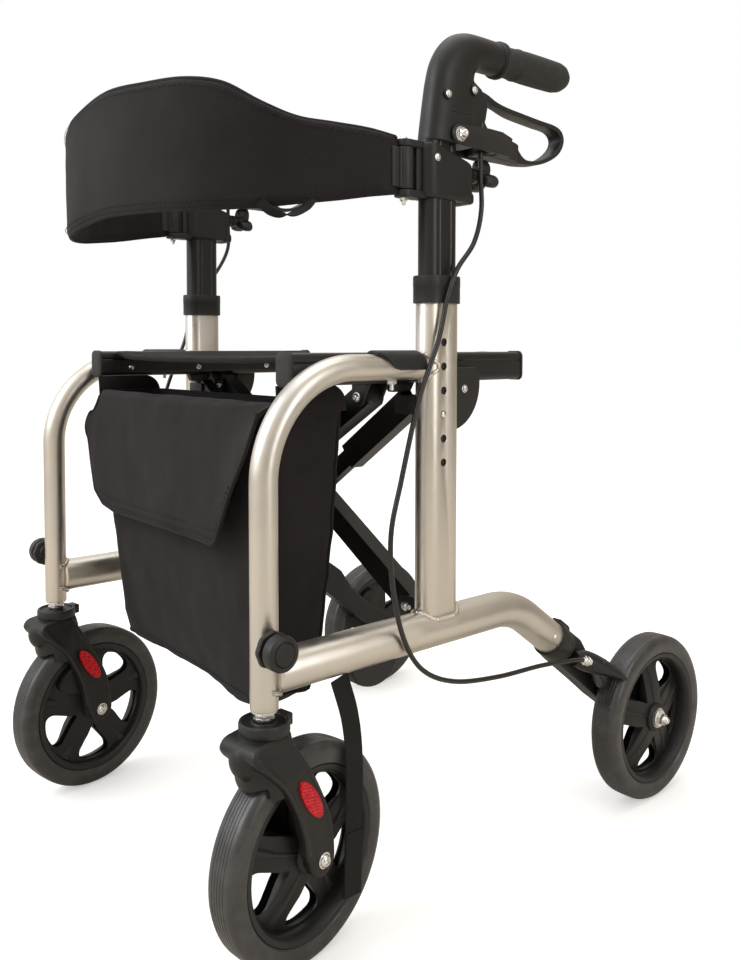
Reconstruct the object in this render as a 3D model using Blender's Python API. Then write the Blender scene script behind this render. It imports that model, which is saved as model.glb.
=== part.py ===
"""Side-folding rollator walker: frames, cross-brace, wheels, brakes, seat, backrest and bag.

Lengths are metres, +Z is up and the user faces -Y. Every shape is drawn for the user's left
side (+X) and reflected for the right side. Lengths along Y are counted from the main posts.
"""

from math import atan2, cos, pi, radians, sin, tan

import bmesh
import bpy
from mathutils import Matrix, Quaternion, Vector

GAP = 0.0005                      # running clearance between neighbouring pieces

# Wheels
WHEEL_R = 0.100
TYRE_HALF_WIDTH = 0.0168
TREAD_HALF_WIDTH = 0.0108
RIM_R = 0.0790
CASTOR_TRAIL = 0.045
CASTOR_REST_TURN = radians(8)
REAR_WHEEL_X = 0.253
REAR_WHEEL_Y = 0.349
AXLE_R = 0.0048

# Side frame: front hoop, lower tube and main post
SIDE_X = 0.224
HOOP_Y = -0.213
HOOP_Z = 0.539
HOOP_FOOT_Z = 0.243
HOOP_R = 0.0127
HOOP_BEND = 0.100
LOWER_R = 0.019
LOWER_Z = 0.2735
LOWER_START_Y = -0.2065
LOWER_BEND_Y = 0.1185
LOWER_END = (0.1947, 0.2185)
LOWER_BEND = 0.100
TUBE_WALL = 0.0016
POST_R = 0.0135
POST_FLAT = 0.0105                # half length of the flat sides of the oval tubes
POST_TOP = 0.6095
POST_FLOOR = 0.2965
HOLE_Y = -0.003
HOLE_TOP_Z = 0.563
HOLE_PITCH = 0.024
HOLE_COUNT = 6
HOLE_R = 0.004
BUTTON_Z = HOLE_TOP_Z - 3 * HOLE_PITCH

# Handle post, brake housing, grip and lever
HANDLE_R = 0.0115
HANDLE_FOOT_Z = 0.400
HANDLE_TOP_Z = 0.815
BORE_R = HANDLE_R + 0.0003
HOUSING_HALF = 0.0165
HOUSING_FOOT_Z = 0.7590
GRIP_Z = 0.861
GRIP_START_Y = 0.0868
GRIP_END_Y = 0.2030
LEVER_PIVOT = (0.012, 0.769)

# Backrest clamp and band
CLAMP_LOW = 0.7035
CLAMP_HIGH = 0.7585
CLAMP_HALF = 0.0155
CLAMP_REAR_Y = 0.046
KNOB_Z = 0.735
BACKREST_HINGE = (0.2225, -0.045)
BACKREST_CENTRE_Y = -0.2535
BAND_THICKNESS = 0.012

# Cross-brace
PIVOT_X = 0.180
PIVOT_LOW_Z = 0.285
PIVOT_TOP_Z = 0.508
ARM_Y = {1: 0.013, -1: -0.055}    # arm that stands on the left (+1) or right (-1) frame
ARM_HALF_WIDTH = 0.010
ARM_HALF_HEIGHT = 0.0125
ARM_OVERHANG = 0.008
ARM_ANGLE = atan2(PIVOT_TOP_Z - PIVOT_LOW_Z, 2 * PIVOT_X)
ARM_HALF = PIVOT_X / cos(ARM_ANGLE)
LUG_THICKNESS = 0.003
PIN_R = 0.0035
STAY_Y = -0.0125
STAY_TOP = (0.196, 0.500)
STAY_REACH = 0.181                # from an arm's lower pivot up to its stay pin
STAY_SLEEVE_LENGTH = 0.108
STAY_ROD_LENGTH = 0.113

# Seat
RAIL_X = 0.195
RAIL_HALF_WIDTH = 0.011
RAIL_LOW = 0.522
RAIL_HIGH = 0.553
RAIL_FRONT_Y = -0.167
RAIL_REAR_Y = 0.155
SLING_Z = (0.5495, 0.5535)

# Rear arm and brake shoe
SHOE_PIVOT = (0.247, 0.190)
SHOE_R = WHEEL_R + 0.0035

# The origin lies on the floor under the middle of the walker's length.
FRONT_Y = (HOOP_Y + (CASTOR_TRAIL - WHEEL_R) * cos(CASTOR_REST_TURN)
           - TREAD_HALF_WIDTH * sin(CASTOR_REST_TURN))
REAR_Y = REAR_WHEEL_Y + WHEEL_R
ORIGIN_Y = -(FRONT_Y + REAR_Y) / 2

# Finish: base colour, roughness, metallic
FINISHES = {
    "satin_aluminium": ((0.60, 0.58, 0.54), 0.35, 1.0),
    "bright_steel": ((0.75, 0.75, 0.76), 0.20, 1.0),
    "dark_aluminium": ((0.030, 0.030, 0.034), 0.35, 0.6),
    "black_plastic": ((0.025, 0.025, 0.027), 0.45, 0.0),
    "soft_grip": ((0.035, 0.036, 0.038), 0.75, 0.0),
    "grey_tyre": ((0.075, 0.075, 0.080), 0.60, 0.0),
    "charcoal_fabric": ((0.030, 0.027, 0.032), 0.90, 0.0),
}

AXES = {"X": Vector((1, 0, 0)), "Y": Vector((0, 1, 0)), "Z": Vector((0, 0, 1))}
PLANES = {"X": ("Y", "Z"), "Y": ("X", "Z"), "Z": ("X", "Y")}


# ---------------------------------------------------------------- outlines and paths

def circle(radius, count=10):
    return [(radius * cos(2 * pi * i / count), radius * sin(2 * pi * i / count))
            for i in range(count)]


def stadium(radius, flat=POST_FLAT, steps=4):
    """Oval with straight sides, long along its second coordinate."""
    points = []
    for centre, start in ((flat, 0.0), (-flat, pi)):
        for i in range(steps + 1):
            angle = start + pi * i / steps
            points.append((radius * cos(angle), centre + radius * sin(angle)))
    return points


def rounded_box(half_u, half_v, radius, steps=2):
    points = []
    corners = ((1, 1), (-1, 1), (-1, -1), (1, -1))
    for turn, (su, sv) in enumerate(corners):
        for i in range(steps + 1):
            angle = pi / 2 * (turn + i / steps)
            points.append((su * (half_u - radius) + radius * cos(angle),
                           sv * (half_v - radius) + radius * sin(angle)))
    return points


def arc(centre, radius, start, end, steps):
    """Points on a circle from one angle to another, in degrees."""
    angles = [radians(start + (end - start) * i / steps) for i in range(steps + 1)]
    return [(centre[0] + radius * cos(a), centre[1] + radius * sin(a)) for a in angles]


def fillet(corners, radius, steps):
    """A polyline whose inner corners are rounded to the radius."""
    path = [corners[0]]
    for before, corner, after in zip(corners, corners[1:], corners[2:]):
        back = (before - corner).normalized()
        ahead = (after - corner).normalized()
        half_angle = back.angle(ahead) / 2
        reach = radius / tan(half_angle)
        centre = corner + (back + ahead).normalized() * radius / sin(half_angle)
        start = corner + back * reach - centre
        end = corner + ahead * reach - centre
        turn = start.rotation_difference(end)
        for i in range(steps + 1):
            path.append(centre + Quaternion().slerp(turn, i / steps) @ start)
    return path + [corners[-1]]


def spline(points, steps):
    """Catmull-Rom curve through the points."""
    padded = [points[0] * 2 - points[1]] + points + [points[-1] * 2 - points[-2]]
    path = []
    for a, b, c, d in zip(padded, padded[1:], padded[2:], padded[3:]):
        for i in range(steps):
            t = i / steps
            path.append(0.5 * (2 * b + (c - a) * t + (2 * a - 5 * b + 4 * c - d) * t ** 2
                               + (3 * b - a - 3 * c + d) * t ** 3))
    return path + [points[-1]]


# ---------------------------------------------------------------- solids

def make_object(bm):
    bmesh.ops.recalc_face_normals(bm, faces=bm.faces)
    mesh = bpy.data.meshes.new("shape")
    bm.to_mesh(mesh)
    bm.free()
    obj = bpy.data.objects.new("shape", mesh)
    bpy.context.scene.collection.objects.link(obj)
    return obj


def loft(rings, wrap=False):
    """Skin over rings of equal length, capped at both ends or wrapped into a closed loop."""
    bm = bmesh.new()
    loops = [[bm.verts.new(point) for point in ring] for ring in rings]
    pairs = list(zip(loops, loops[1:]))
    if wrap:
        pairs.append((loops[-1], loops[0]))
    for low, high in pairs:
        for i in range(len(low)):
            j = (i + 1) % len(low)
            bm.faces.new((low[i], low[j], high[j], high[i]))
    if not wrap:
        bm.faces.new(loops[0])
        bm.faces.new(loops[-1])
    return make_object(bm)


def place(outline, axis, station):
    """The outline as 3-D points, at a station along the named axis."""
    first, second = (AXES[name] for name in PLANES[axis])
    return [AXES[axis] * station + first * u + second * v for u, v in outline]


def prism(outline, axis, low, high):
    return loft([place(outline, axis, low), place(outline, axis, high)])


def box(x, y, z):
    return prism([(x[0], y[0]), (x[1], y[0]), (x[1], y[1]), (x[0], y[1])], "Z", z[0], z[1])


def tube_prism(outer, inner, axis, low, high):
    """Open-ended tube between two outlines with equal point counts."""
    return loft([place(outer, axis, low), place(outer, axis, high),
                 place(inner, axis, high), place(inner, axis, low)], wrap=True)


def lathe(profile, axis, centre, count=10, wrap=False):
    """Turned shape: profile of (station, radius) pairs about an axis through the centre."""
    rings = []
    for station, radius in profile:
        outline = [(centre[0] + u, centre[1] + v) for u, v in circle(radius, count)]
        rings.append(place(outline, axis, station))
    return loft(rings, wrap)


def rod(axis, centre, radius, low, high, count=10):
    return lathe([(low, radius), (high, radius)], axis, centre, count)


def sweep(path, outline, side_axis):
    """The outline carried along a path; its first coordinate lies along side_axis."""
    rings = []
    for i, point in enumerate(path):
        ahead = path[min(i + 1, len(path) - 1)] - path[max(i - 1, 0)]
        ahead.normalize()
        side = (side_axis - ahead * side_axis.dot(ahead)).normalized()
        across = ahead.cross(side)
        rings.append([point + side * u + across * v for u, v in outline])
    return loft(rings)


def box_tube(start, end, half_width, half_height, wall):
    """Open-ended rectangular tube in an XZ plane, its width along Y."""
    ahead = (end - start).normalized()
    up = AXES["Y"].cross(ahead)
    rings = []
    for point, inset in ((start, 0), (end, 0), (end, wall), (start, wall)):
        v = half_width - inset
        w = half_height - inset
        rings.append([point + AXES["Y"] * a * v + up * b * w
                      for a, b in ((1, 1), (-1, 1), (-1, -1), (1, -1))])
    return loft(rings, wrap=True)


def combine(base, tools, operation):
    """Join the tools to the base, or cut them out of it."""
    for tool in tools:
        modifier = base.modifiers.new("combine", "BOOLEAN")
        modifier.operation = operation
        modifier.solver = "EXACT"
        modifier.object = tool
    depsgraph = bpy.context.evaluated_depsgraph_get()
    mesh = bpy.data.meshes.new_from_object(base.evaluated_get(depsgraph))
    base.modifiers.clear()
    base.data = mesh
    for tool in tools:
        bpy.data.objects.remove(tool)
    return base


def soften(base, width, segments=2):
    """Round the edges that turn by more than 40 degrees."""
    modifier = base.modifiers.new("round", "BEVEL")
    modifier.width = width
    modifier.segments = segments
    modifier.angle_limit = radians(40)
    return combine(base, [], "UNION")


# ---------------------------------------------------------------- naming and placing

def make_material(name):
    colour, roughness, metallic = FINISHES[name]
    material = bpy.data.materials.new(name)
    material.use_nodes = True
    shader = material.node_tree.nodes["Principled BSDF"]
    shader.inputs["Base Color"].default_value = (*colour, 1)
    shader.inputs["Roughness"].default_value = roughness
    shader.inputs["Metallic"].default_value = metallic
    return material


def add_part(name, shape, finish, origin, side=1, turn_about=None):
    """Name a shape, reflect it for the right side and put its origin on its joint."""
    bm = bmesh.new()
    bm.from_mesh(shape.data)
    origin = Vector(origin)
    if side < 0:
        bmesh.ops.scale(bm, vec=(-1, 1, 1), verts=bm.verts)
        bmesh.ops.reverse_faces(bm, faces=bm.faces)
        origin.x = -origin.x
    if turn_about:
        centre = Vector((side * turn_about[0], turn_about[1], 0))
        turn = Matrix.Rotation(CASTOR_REST_TURN, 3, "Z")
        bmesh.ops.rotate(bm, cent=centre, matrix=turn, verts=bm.verts)
        origin = turn @ (origin - centre) + centre
    bmesh.ops.translate(bm, vec=-origin, verts=bm.verts)
    bm.to_mesh(shape.data)
    bm.free()
    shape.name = name
    shape.data.name = name
    shape.data.shade_smooth()
    shape.data.set_sharp_from_angle(angle=radians(35))
    shape.data.materials.clear()
    shape.data.materials.append(MATERIALS[finish])
    shape.parent = WALKER
    shape.location = origin
    return shape


# ---------------------------------------------------------------- side frame

def hoop_path(foot_z, end_y):
    return fillet([Vector((SIDE_X, HOOP_Y, foot_z)), Vector((SIDE_X, HOOP_Y, HOOP_Z)),
                   Vector((SIDE_X, end_y, HOOP_Z))], HOOP_BEND, 6)


def lower_path(start_y, extra):
    bend = Vector((SIDE_X, LOWER_BEND_Y, LOWER_Z))
    end = Vector((SIDE_X, *LOWER_END))
    end += (end - bend).normalized() * extra
    return fillet([Vector((SIDE_X, start_y, LOWER_Z)), bend, end], LOWER_BEND, 3)


def pivot_lugs(x, z, arm_y):
    """Two ears and the pin between them, for the end of a cross arm."""
    inner = ARM_HALF_WIDTH + GAP
    outer = inner + LUG_THICKNESS
    ears = [box(x, (arm_y + low, arm_y + high), z)
            for low, high in ((-outer, -inner), (inner, outer))]
    return ears, arm_y - outer + GAP, arm_y + outer - GAP


def side_frame(side):
    hoop = sweep(hoop_path(HOOP_FOOT_Z, 0), circle(HOOP_R, 12), AXES["X"])
    lower = sweep(lower_path(LOWER_START_Y, 0), circle(LOWER_R, 12), AXES["X"])
    post = prism([(SIDE_X + u, v) for u, v in stadium(POST_R)], "Z", LOWER_Z, POST_TOP)
    ears, pin_low, pin_high = pivot_lugs((0.1695, 0.2140), (0.2740, 0.2965), ARM_Y[side])
    arm_pin = rod("Y", (PIVOT_X, PIVOT_LOW_Z), PIN_R, pin_low, pin_high, 8)
    stay_ears = [box((0.188, 0.2185), (-0.0235, -0.0210), (0.490, 0.510)),
                 box((0.188, 0.2120), (-0.0040, -0.0015), (0.490, 0.510))]
    stay_pin = rod("Y", STAY_TOP, 0.003, -0.0230, -0.0020, 8)
    frame = combine(hoop, [lower, post, *ears, arm_pin, *stay_ears, stay_pin], "UNION")

    hoop_hollow = sweep(hoop_path(HOOP_FOOT_Z - 0.001, -0.032),
                        circle(HOOP_R - TUBE_WALL, 12), AXES["X"])
    lower_hollow = sweep(lower_path(-0.190, 0.001), circle(LOWER_R - TUBE_WALL, 12), AXES["X"])
    post_hollow = prism([(SIDE_X + u, v) for u, v in stadium(BORE_R)],
                        "Z", POST_FLOOR, POST_TOP + 0.001)
    holes = [rod("X", (HOLE_Y, HOLE_TOP_Z - i * HOLE_PITCH), HOLE_R,
                 SIDE_X + 0.006, SIDE_X + 0.020, 8) for i in range(HOLE_COUNT)]
    return combine(frame, [hoop_hollow, lower_hollow, post_hollow, *holes], "DIFFERENCE")


def post_collar():
    loops = [(0.0162, 0.6020), (0.0162, 0.6290), (0.0120, 0.6290),
             (0.0120, 0.6105), (0.0139, 0.6105), (0.0139, 0.6020)]
    rings = [place([(SIDE_X + u, v) for u, v in stadium(radius)], "Z", z) for radius, z in loops]
    return loft(rings, wrap=True)


def frame_bumper():
    """Spool-shaped bumper on the outer side of the front tube."""
    profile = [(0.2372, 0.0060), (0.2395, 0.0060), (0.2395, 0.0165), (0.2445, 0.0165),
               (0.2460, 0.0115), (0.2490, 0.0115), (0.2505, 0.0155), (0.2600, 0.0155),
               (0.2625, 0.0125)]
    return lathe(profile, "X", (HOOP_Y - 0.0045, 0.301), 12)


def rail_saddle():
    """Half shell over the hoop, where the seat rail comes to rest."""
    centre = (SIDE_X, HOOP_Z)
    outline = arc(centre, 0.0157, -20, 200, 8) + arc(centre, 0.0131, 200, -20, 8)
    return prism(outline, "Y", -0.087, -0.027)


def rail_guide():
    """Half-moon plate behind the post that keeps the seat rail in line as it rises."""
    curve = [(0.031 + 0.046 * cos(radians(a)), 0.520 + 0.049 * sin(radians(a)))
             for a in range(-90, 1, 15)]
    return prism([(0.0255, 0.537), (0.0255, 0.471), *curve, (0.077, 0.537)],
                 "X", 0.2078, 0.2145)


# ---------------------------------------------------------------- wheels

def wheel_rim(x, y):
    centre = (y, WHEEL_R)
    web = rod("X", centre, 0.071, x - 0.005, x + 0.005, 20)
    hub = rod("X", centre, 0.016, x - 0.0165, x + 0.0165, 10)
    band = lathe([(x - 0.0145, RIM_R), (x + 0.0145, RIM_R), (x + 0.0145, 0.0690),
                  (x - 0.0145, 0.0690)], "X", centre, 24, wrap=True)
    rim = combine(web, [hub, band], "UNION")
    kite = [(0.026, 0.0), (0.045, -0.30), (0.058, -0.36), (0.0655, -0.24),
            (0.0655, 0.24), (0.058, 0.36), (0.045, 0.30)]
    cuts = [rod("X", centre, AXLE_R + 0.0004, x - 0.02, x + 0.02, 12)]
    for spoke in range(5):
        middle = pi / 2 + 2 * pi * (spoke + 0.5) / 5
        outline = [(y + r * cos(middle + a), WHEEL_R + r * sin(middle + a)) for r, a in kite]
        cuts.append(prism(outline, "X", x - 0.008, x + 0.008))
    return combine(rim, cuts, "DIFFERENCE")


def wheel_tyre(x, y):
    half = TYRE_HALF_WIDTH
    tread = TREAD_HALF_WIDTH
    profile = [(-half + 0.0015, RIM_R + 0.0004), (-half, 0.0930), (-tread, WHEEL_R),
               (tread, WHEEL_R), (half, 0.0930), (half - 0.0015, RIM_R + 0.0004)]
    return lathe([(x + station, radius) for station, radius in profile],
                 "X", (y, WHEEL_R), 24, wrap=True)


def castor_fork():
    """Swivel head with a cap disc, and two legs that sweep back to the axle."""
    stem = (SIDE_X, HOOP_Y)
    axle = (HOOP_Y + CASTOR_TRAIL, WHEEL_R)
    leg = [(HOOP_Y + y, z) for y, z in ((-0.0200, 0.2050), (-0.0130, 0.1800), (-0.0020, 0.1560),
                                        (0.0150, 0.1350), (0.0290, 0.1180))]
    leg += arc(axle, 0.0140, 165, 345, 6)
    leg += [(HOOP_Y + y, z) for y, z in ((0.0590, 0.1150), (0.0540, 0.1400), (0.0420, 0.1700),
                                         (0.0290, 0.1950), (0.0240, 0.2050))]
    legs = prism(leg, "X", SIDE_X - 0.0295, SIDE_X + 0.0295)
    neck = lathe([(0.1960, 0.0245), (0.2120, 0.0235), (0.2165, 0.0205), (0.2180, 0.0225),
                  (0.2325, 0.0225), (0.2340, 0.0210)], "Z", stem, 14)
    lug = box((SIDE_X - 0.006, SIDE_X + 0.006), (HOOP_Y, HOOP_Y + 0.0275), (0.2185, 0.2330))
    fork = combine(legs, [neck, lug], "UNION")
    wheel_room = rod("X", axle, 0.104, SIDE_X - 0.0203, SIDE_X + 0.0203, 24)
    stem_bore = rod("Z", stem, 0.0066, 0.1965, 0.2400)
    axle_bore = rod("X", axle, AXLE_R + 0.0004, SIDE_X - 0.040, SIDE_X + 0.040, 12)
    return combine(fork, [wheel_room, stem_bore, axle_bore], "DIFFERENCE")


def castor_stem():
    """Swivel bolt, washer and nut, and the plug that holds them in the front tube."""
    profile = [(0.1980, 0.0060), (0.2345, 0.0060), (0.2345, 0.0105), (0.2375, 0.0105),
               (0.2375, 0.0085), (0.2415, 0.0085), (0.2415, 0.0060), (0.2440, 0.0060),
               (0.2440, 0.0104), (0.2850, 0.0104)]
    return lathe(profile, "Z", (SIDE_X, HOOP_Y), 8)


def front_axle():
    x = SIDE_X
    profile = [(x - 0.0345, 0.0070), (x - 0.0300, 0.0070), (x - 0.0300, AXLE_R),
               (x + 0.0300, AXLE_R), (x + 0.0300, 0.0080), (x + 0.0345, 0.0070)]
    return lathe(profile, "X", (HOOP_Y + CASTOR_TRAIL, WHEEL_R), 12)


def rear_axle():
    x = REAR_WHEEL_X
    profile = [(x - 0.0510, 0.0080), (x - 0.0470, 0.0080), (x - 0.0470, AXLE_R),
               (x + 0.0175, AXLE_R), (x + 0.0175, 0.0105), (x + 0.0195, 0.0105),
               (x + 0.0195, 0.0065), (x + 0.0265, 0.0060), (x + 0.0295, 0.0030)]
    return lathe(profile, "X", (REAR_WHEEL_Y, WHEEL_R), 12)


def rear_arm():
    """Sleeve on the end of the lower tube, and the one-sided arm down to the rear axle."""
    end = Vector((SIDE_X, *LOWER_END))
    ahead = (end - Vector((SIDE_X, LOWER_BEND_Y, LOWER_Z))).normalized()
    sleeve = sweep([end - ahead * 0.018, end + ahead * 0.010], circle(0.0215, 12), AXES["X"])
    bar = [(0.1900, 0.1965), (0.2110, 0.1810), (0.2730, 0.1330)]
    bar += arc((REAR_WHEEL_Y, WHEEL_R), 0.0165, -125, 70, 5)
    bar += [(0.3000, 0.1480), (0.2620, 0.1800), (0.2400, 0.2130), (0.2175, 0.2290)]
    arm = prism(bar, "X", 0.2090, 0.2325)
    boss = rod("X", (REAR_WHEEL_Y, WHEEL_R), 0.0165, 0.2065, 0.2350)
    shoe_pin = rod("X", SHOE_PIVOT, 0.004, 0.2300, 0.2700, 8)
    arm = combine(arm, [sleeve, boss, shoe_pin], "UNION")
    socket = sweep([end - ahead * 0.020, end + ahead * GAP],
                   circle(LOWER_R + 0.0003, 12), AXES["X"])
    axle_bore = rod("X", (REAR_WHEEL_Y, WHEEL_R), AXLE_R + 0.0004, 0.19, 0.25, 12)
    return combine(arm, [socket, axle_bore], "DIFFERENCE")


def brake_shoe():
    """Pointed block that the cable turns on to the tyre's tread."""
    centre = (REAR_WHEEL_Y, WHEEL_R)
    outline = arc(centre, SHOE_R, 150, 138, 4)
    outline += [(0.2560, 0.1980), (0.2430, 0.2050), (0.2300, 0.2065), (0.2235, 0.2010),
                (0.2260, 0.1930), (0.2380, 0.1800)]
    shoe = prism(outline, "X", 0.2375, 0.2695)
    bore = rod("X", SHOE_PIVOT, 0.0046, 0.230, 0.275)
    return combine(shoe, [bore], "DIFFERENCE")


# ---------------------------------------------------------------- handle, brake and backrest

def handle_post():
    outer = [(SIDE_X + u, v) for u, v in stadium(HANDLE_R)]
    inner = [(SIDE_X + u, v) for u, v in stadium(HANDLE_R - 0.002)]
    tube = tube_prism(outer, inner, "Z", HANDLE_FOOT_Z, HANDLE_TOP_Z)
    hole = rod("X", (HOLE_Y, BUTTON_Z), HOLE_R, SIDE_X + 0.006, SIDE_X + 0.020, 8)
    return combine(tube, [hole], "DIFFERENCE")


def height_button():
    profile = [(SIDE_X + 0.0055, 0.0036), (SIDE_X + 0.0140, 0.0036), (SIDE_X + 0.0148, 0.0022)]
    return lathe(profile, "X", (HOLE_Y, BUTTON_Z), 8)


def brake_housing():
    """Gooseneck between the handle post and the grip, with the lever's slot behind it."""
    outline = [(-0.0225, HOUSING_FOOT_Z), (0.0460, HOUSING_FOOT_Z), (0.0480, 0.7950),
               (0.0640, 0.8080), (0.0650, 0.8400), (0.0700, 0.8440), (0.0862, 0.8440),
               (0.0862, 0.8785), (0.0300, 0.8785)]
    outline += arc((0.0300, 0.8375), 0.0410, 110, 175, 3)
    body = soften(prism(outline, "X", SIDE_X - HOUSING_HALF, SIDE_X + HOUSING_HALF), 0.005, 1)
    bar = rod("Y", (SIDE_X, GRIP_Z), 0.0113, 0.0750, 0.1840)
    bolts = [lathe([(SIDE_X + s * 0.0135, 0.0028), (SIDE_X + s * 0.0208, 0.0028),
                    (SIDE_X + s * 0.0208, 0.0055), (SIDE_X + s * 0.0235, 0.0050)],
                   "X", LEVER_PIVOT, 8) for s in (1, -1)]
    housing = combine(body, [bar, *bolts], "UNION")
    bore = prism([(SIDE_X + u, v) for u, v in stadium(BORE_R)], "Z", 0.750, HANDLE_TOP_Z + 0.002)
    slot = box((SIDE_X - 0.0068, SIDE_X + 0.0068), (0.0400, 0.0690), (0.750, 0.8425))
    return combine(housing, [bore, slot], "DIFFERENCE")


def grip():
    profile = [(GRIP_START_Y, 0.0185), (0.0930, 0.0185), (0.0950, 0.0160), (0.1100, 0.0168),
               (0.1900, 0.0165), (0.1990, 0.0145), (GRIP_END_Y, 0.0090)]
    body = lathe(profile, "Y", (SIDE_X, GRIP_Z), 14)
    bore = rod("Y", (SIDE_X, GRIP_Z), 0.0120, 0.080, 0.186)
    return combine(body, [bore], "DIFFERENCE")


def brake_lever():
    """Closed loop to squeeze, on two cheeks that straddle the housing."""
    loop = [(0.0580, 0.7590), (0.1120, 0.7525), (0.1500, 0.7500), (0.1850, 0.7600)]
    loop += arc((0.1900, 0.7860), 0.0150, -40, 75, 3)
    loop += [(0.1650, 0.8100), (0.0840, 0.8210), (0.0660, 0.8260), (0.0560, 0.8240),
             (0.0530, 0.8000)]
    hole = [(0.0700, 0.7790), (0.1120, 0.7680), (0.1500, 0.7640), (0.1780, 0.7695)]
    hole += arc((0.1860, 0.7820), 0.0065, -50, 80, 3)
    hole += [(0.1600, 0.7995), (0.0840, 0.8110), (0.0680, 0.8120), (0.0640, 0.7980)]
    cheek = [(0.0760, 0.7580), (0.0760, 0.7810), (0.0600, 0.7815)]
    cheek += arc(LEVER_PIVOT, 0.0098, 85, 265, 4)
    cheeks = [prism(cheek, "X", SIDE_X + low, SIDE_X + high)
              for low, high in ((0.0171, 0.0202), (-0.0202, -0.0171))]
    web = box((SIDE_X - 0.0190, SIDE_X + 0.0190), (0.0585, 0.0755), (0.7585, 0.7805))
    body = prism(loop, "X", SIDE_X - 0.0055, SIDE_X + 0.0055)
    lever = combine(body, [web, *cheeks], "UNION")
    opening = prism(hole, "X", SIDE_X - 0.020, SIDE_X + 0.020)
    bore = rod("X", LEVER_PIVOT, 0.0035, SIDE_X - 0.030, SIDE_X + 0.030, 8)
    return combine(lever, [opening, bore], "DIFFERENCE")


def backrest_clamp():
    """Ring round the handle post, with two ears and a pin for the backrest's end."""
    low_y = -0.028
    middle = (low_y + CLAMP_REAR_Y) / 2
    outline = [(SIDE_X + u, middle + v)
               for u, v in rounded_box(CLAMP_HALF, (CLAMP_REAR_Y - low_y) / 2, 0.012)]
    ring = prism(outline, "Z", CLAMP_LOW, CLAMP_HIGH)
    hinge_x, hinge_y = BACKREST_HINGE
    ear = arc(BACKREST_HINGE, 0.009, 180, 360, 4)
    ear += [(hinge_x + 0.009, -0.022), (hinge_x - 0.009, -0.022)]
    ears = [prism(ear, "Z", CLAMP_LOW, CLAMP_LOW + 0.007),
            prism(ear, "Z", CLAMP_HIGH - 0.007, CLAMP_HIGH)]
    pin = rod("Z", BACKREST_HINGE, 0.0025, CLAMP_LOW + 0.002, CLAMP_HIGH - 0.002, 8)
    clamp = combine(ring, [*ears, pin], "UNION")
    bore = prism([(SIDE_X + u, v) for u, v in stadium(BORE_R)], "Z", 0.69, 0.77)
    knob_hole = rod("Y", (SIDE_X, KNOB_Z), 0.0035, 0.0340, 0.0500, 8)
    return combine(clamp, [bore, knob_hole], "DIFFERENCE")


def clamp_knob():
    """Three-lobed hand knob on its screw."""
    screw = lathe([(0.0365, 0.0030), (0.0475, 0.0030), (0.0475, 0.0070), (0.0600, 0.0070)],
                  "Y", (SIDE_X, KNOB_Z), 8)
    lobes = []
    for i in range(18):
        angle = 2 * pi * i / 18
        reach = 0.0135 + 0.0060 * cos(3 * angle)
        lobes.append((SIDE_X + reach * cos(angle), KNOB_Z + reach * sin(angle)))
    return combine(screw, [prism(lobes, "Y", 0.0580, 0.0710)], "UNION")


def backrest_half():
    """Half of the padded band, from its clamp to the middle, with its hinge barrel."""
    hinge_x, hinge_y = BACKREST_HINGE
    inner = BACKREST_CENTRE_Y - BAND_THICKNESS / 2
    stations = [((hinge_x, -0.0565), 0.708, 0.760), ((0.2215, -0.0900), 0.701, 0.766),
                ((0.2176, -0.1330), 0.693, 0.769), ((0.2070, -0.1720), 0.686, 0.779),
                ((0.1900, -0.2020), 0.684, 0.793), ((0.1650, -0.2260), 0.682, 0.806),
                ((0.1300, -0.2430), 0.680, 0.815), ((0.0800, -0.2540), 0.678, 0.818),
                ((0.0008, inner), 0.678, 0.816)]
    centres = [Vector((*point, 0)) for point, _, _ in stations]
    rings = []
    for i, (centre, (_, low, high)) in enumerate(zip(centres, stations)):
        ahead = centres[min(i + 1, len(centres) - 1)] - centres[max(i - 1, 0)]
        if i == len(centres) - 1:
            ahead = Vector((-1, 0, 0))
        out = Vector((-ahead.y, ahead.x, 0)).normalized() * BAND_THICKNESS / 2
        rings.append([centre + offset + Vector((0, 0, z))
                      for offset, z in ((out, low), (out, high), (-out, high), (-out, low))])
    band = loft(rings)
    barrel = rod("Z", BACKREST_HINGE, 0.0095, 0.7110, 0.7510)
    tab = box((hinge_x - 0.005, hinge_x + 0.005), (-0.062, hinge_y), (0.7115, 0.7505))
    half = combine(band, [barrel, tab], "UNION")
    bore = rod("Z", BACKREST_HINGE, 0.0076, 0.700, 0.760)
    return combine(half, [bore], "DIFFERENCE")


def brake_cable():
    """Outer cable from the housing, across the post, to the shoe on the rear arm."""
    points = [(0.2360, 0.0512, 0.7800), (0.2360, 0.0512, 0.7350), (0.2372, 0.0512, 0.6980),
              (0.2420, 0.0350, 0.6640), (0.2438, 0.0090, 0.6360), (0.2438, -0.0050, 0.6080),
              (0.2430, -0.0170, 0.5650), (0.2425, -0.0430, 0.5070), (0.2425, -0.0660, 0.4320),
              (0.2430, -0.0800, 0.3800), (0.2450, -0.0780, 0.3250), (0.2480, -0.0660, 0.2770),
              (0.2480, -0.0400, 0.2430), (0.2480, 0.0050, 0.2220), (0.2490, 0.0700, 0.2120),
              (0.2500, 0.1400, 0.2080), (0.2530, 0.1900, 0.2030), (0.2530, 0.2180, 0.1980)]
    return sweep(spline([Vector(point) for point in points], 1), circle(0.0025, 6), AXES["X"])


# ---------------------------------------------------------------- cross-brace and seat

def arm_point(side, distance):
    """A point on the centre line of the arm that stands on this side's frame."""
    return Vector((side * (PIVOT_X - distance * cos(ARM_ANGLE)), ARM_Y[side],
                   PIVOT_LOW_Z + distance * sin(ARM_ANGLE)))


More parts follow.
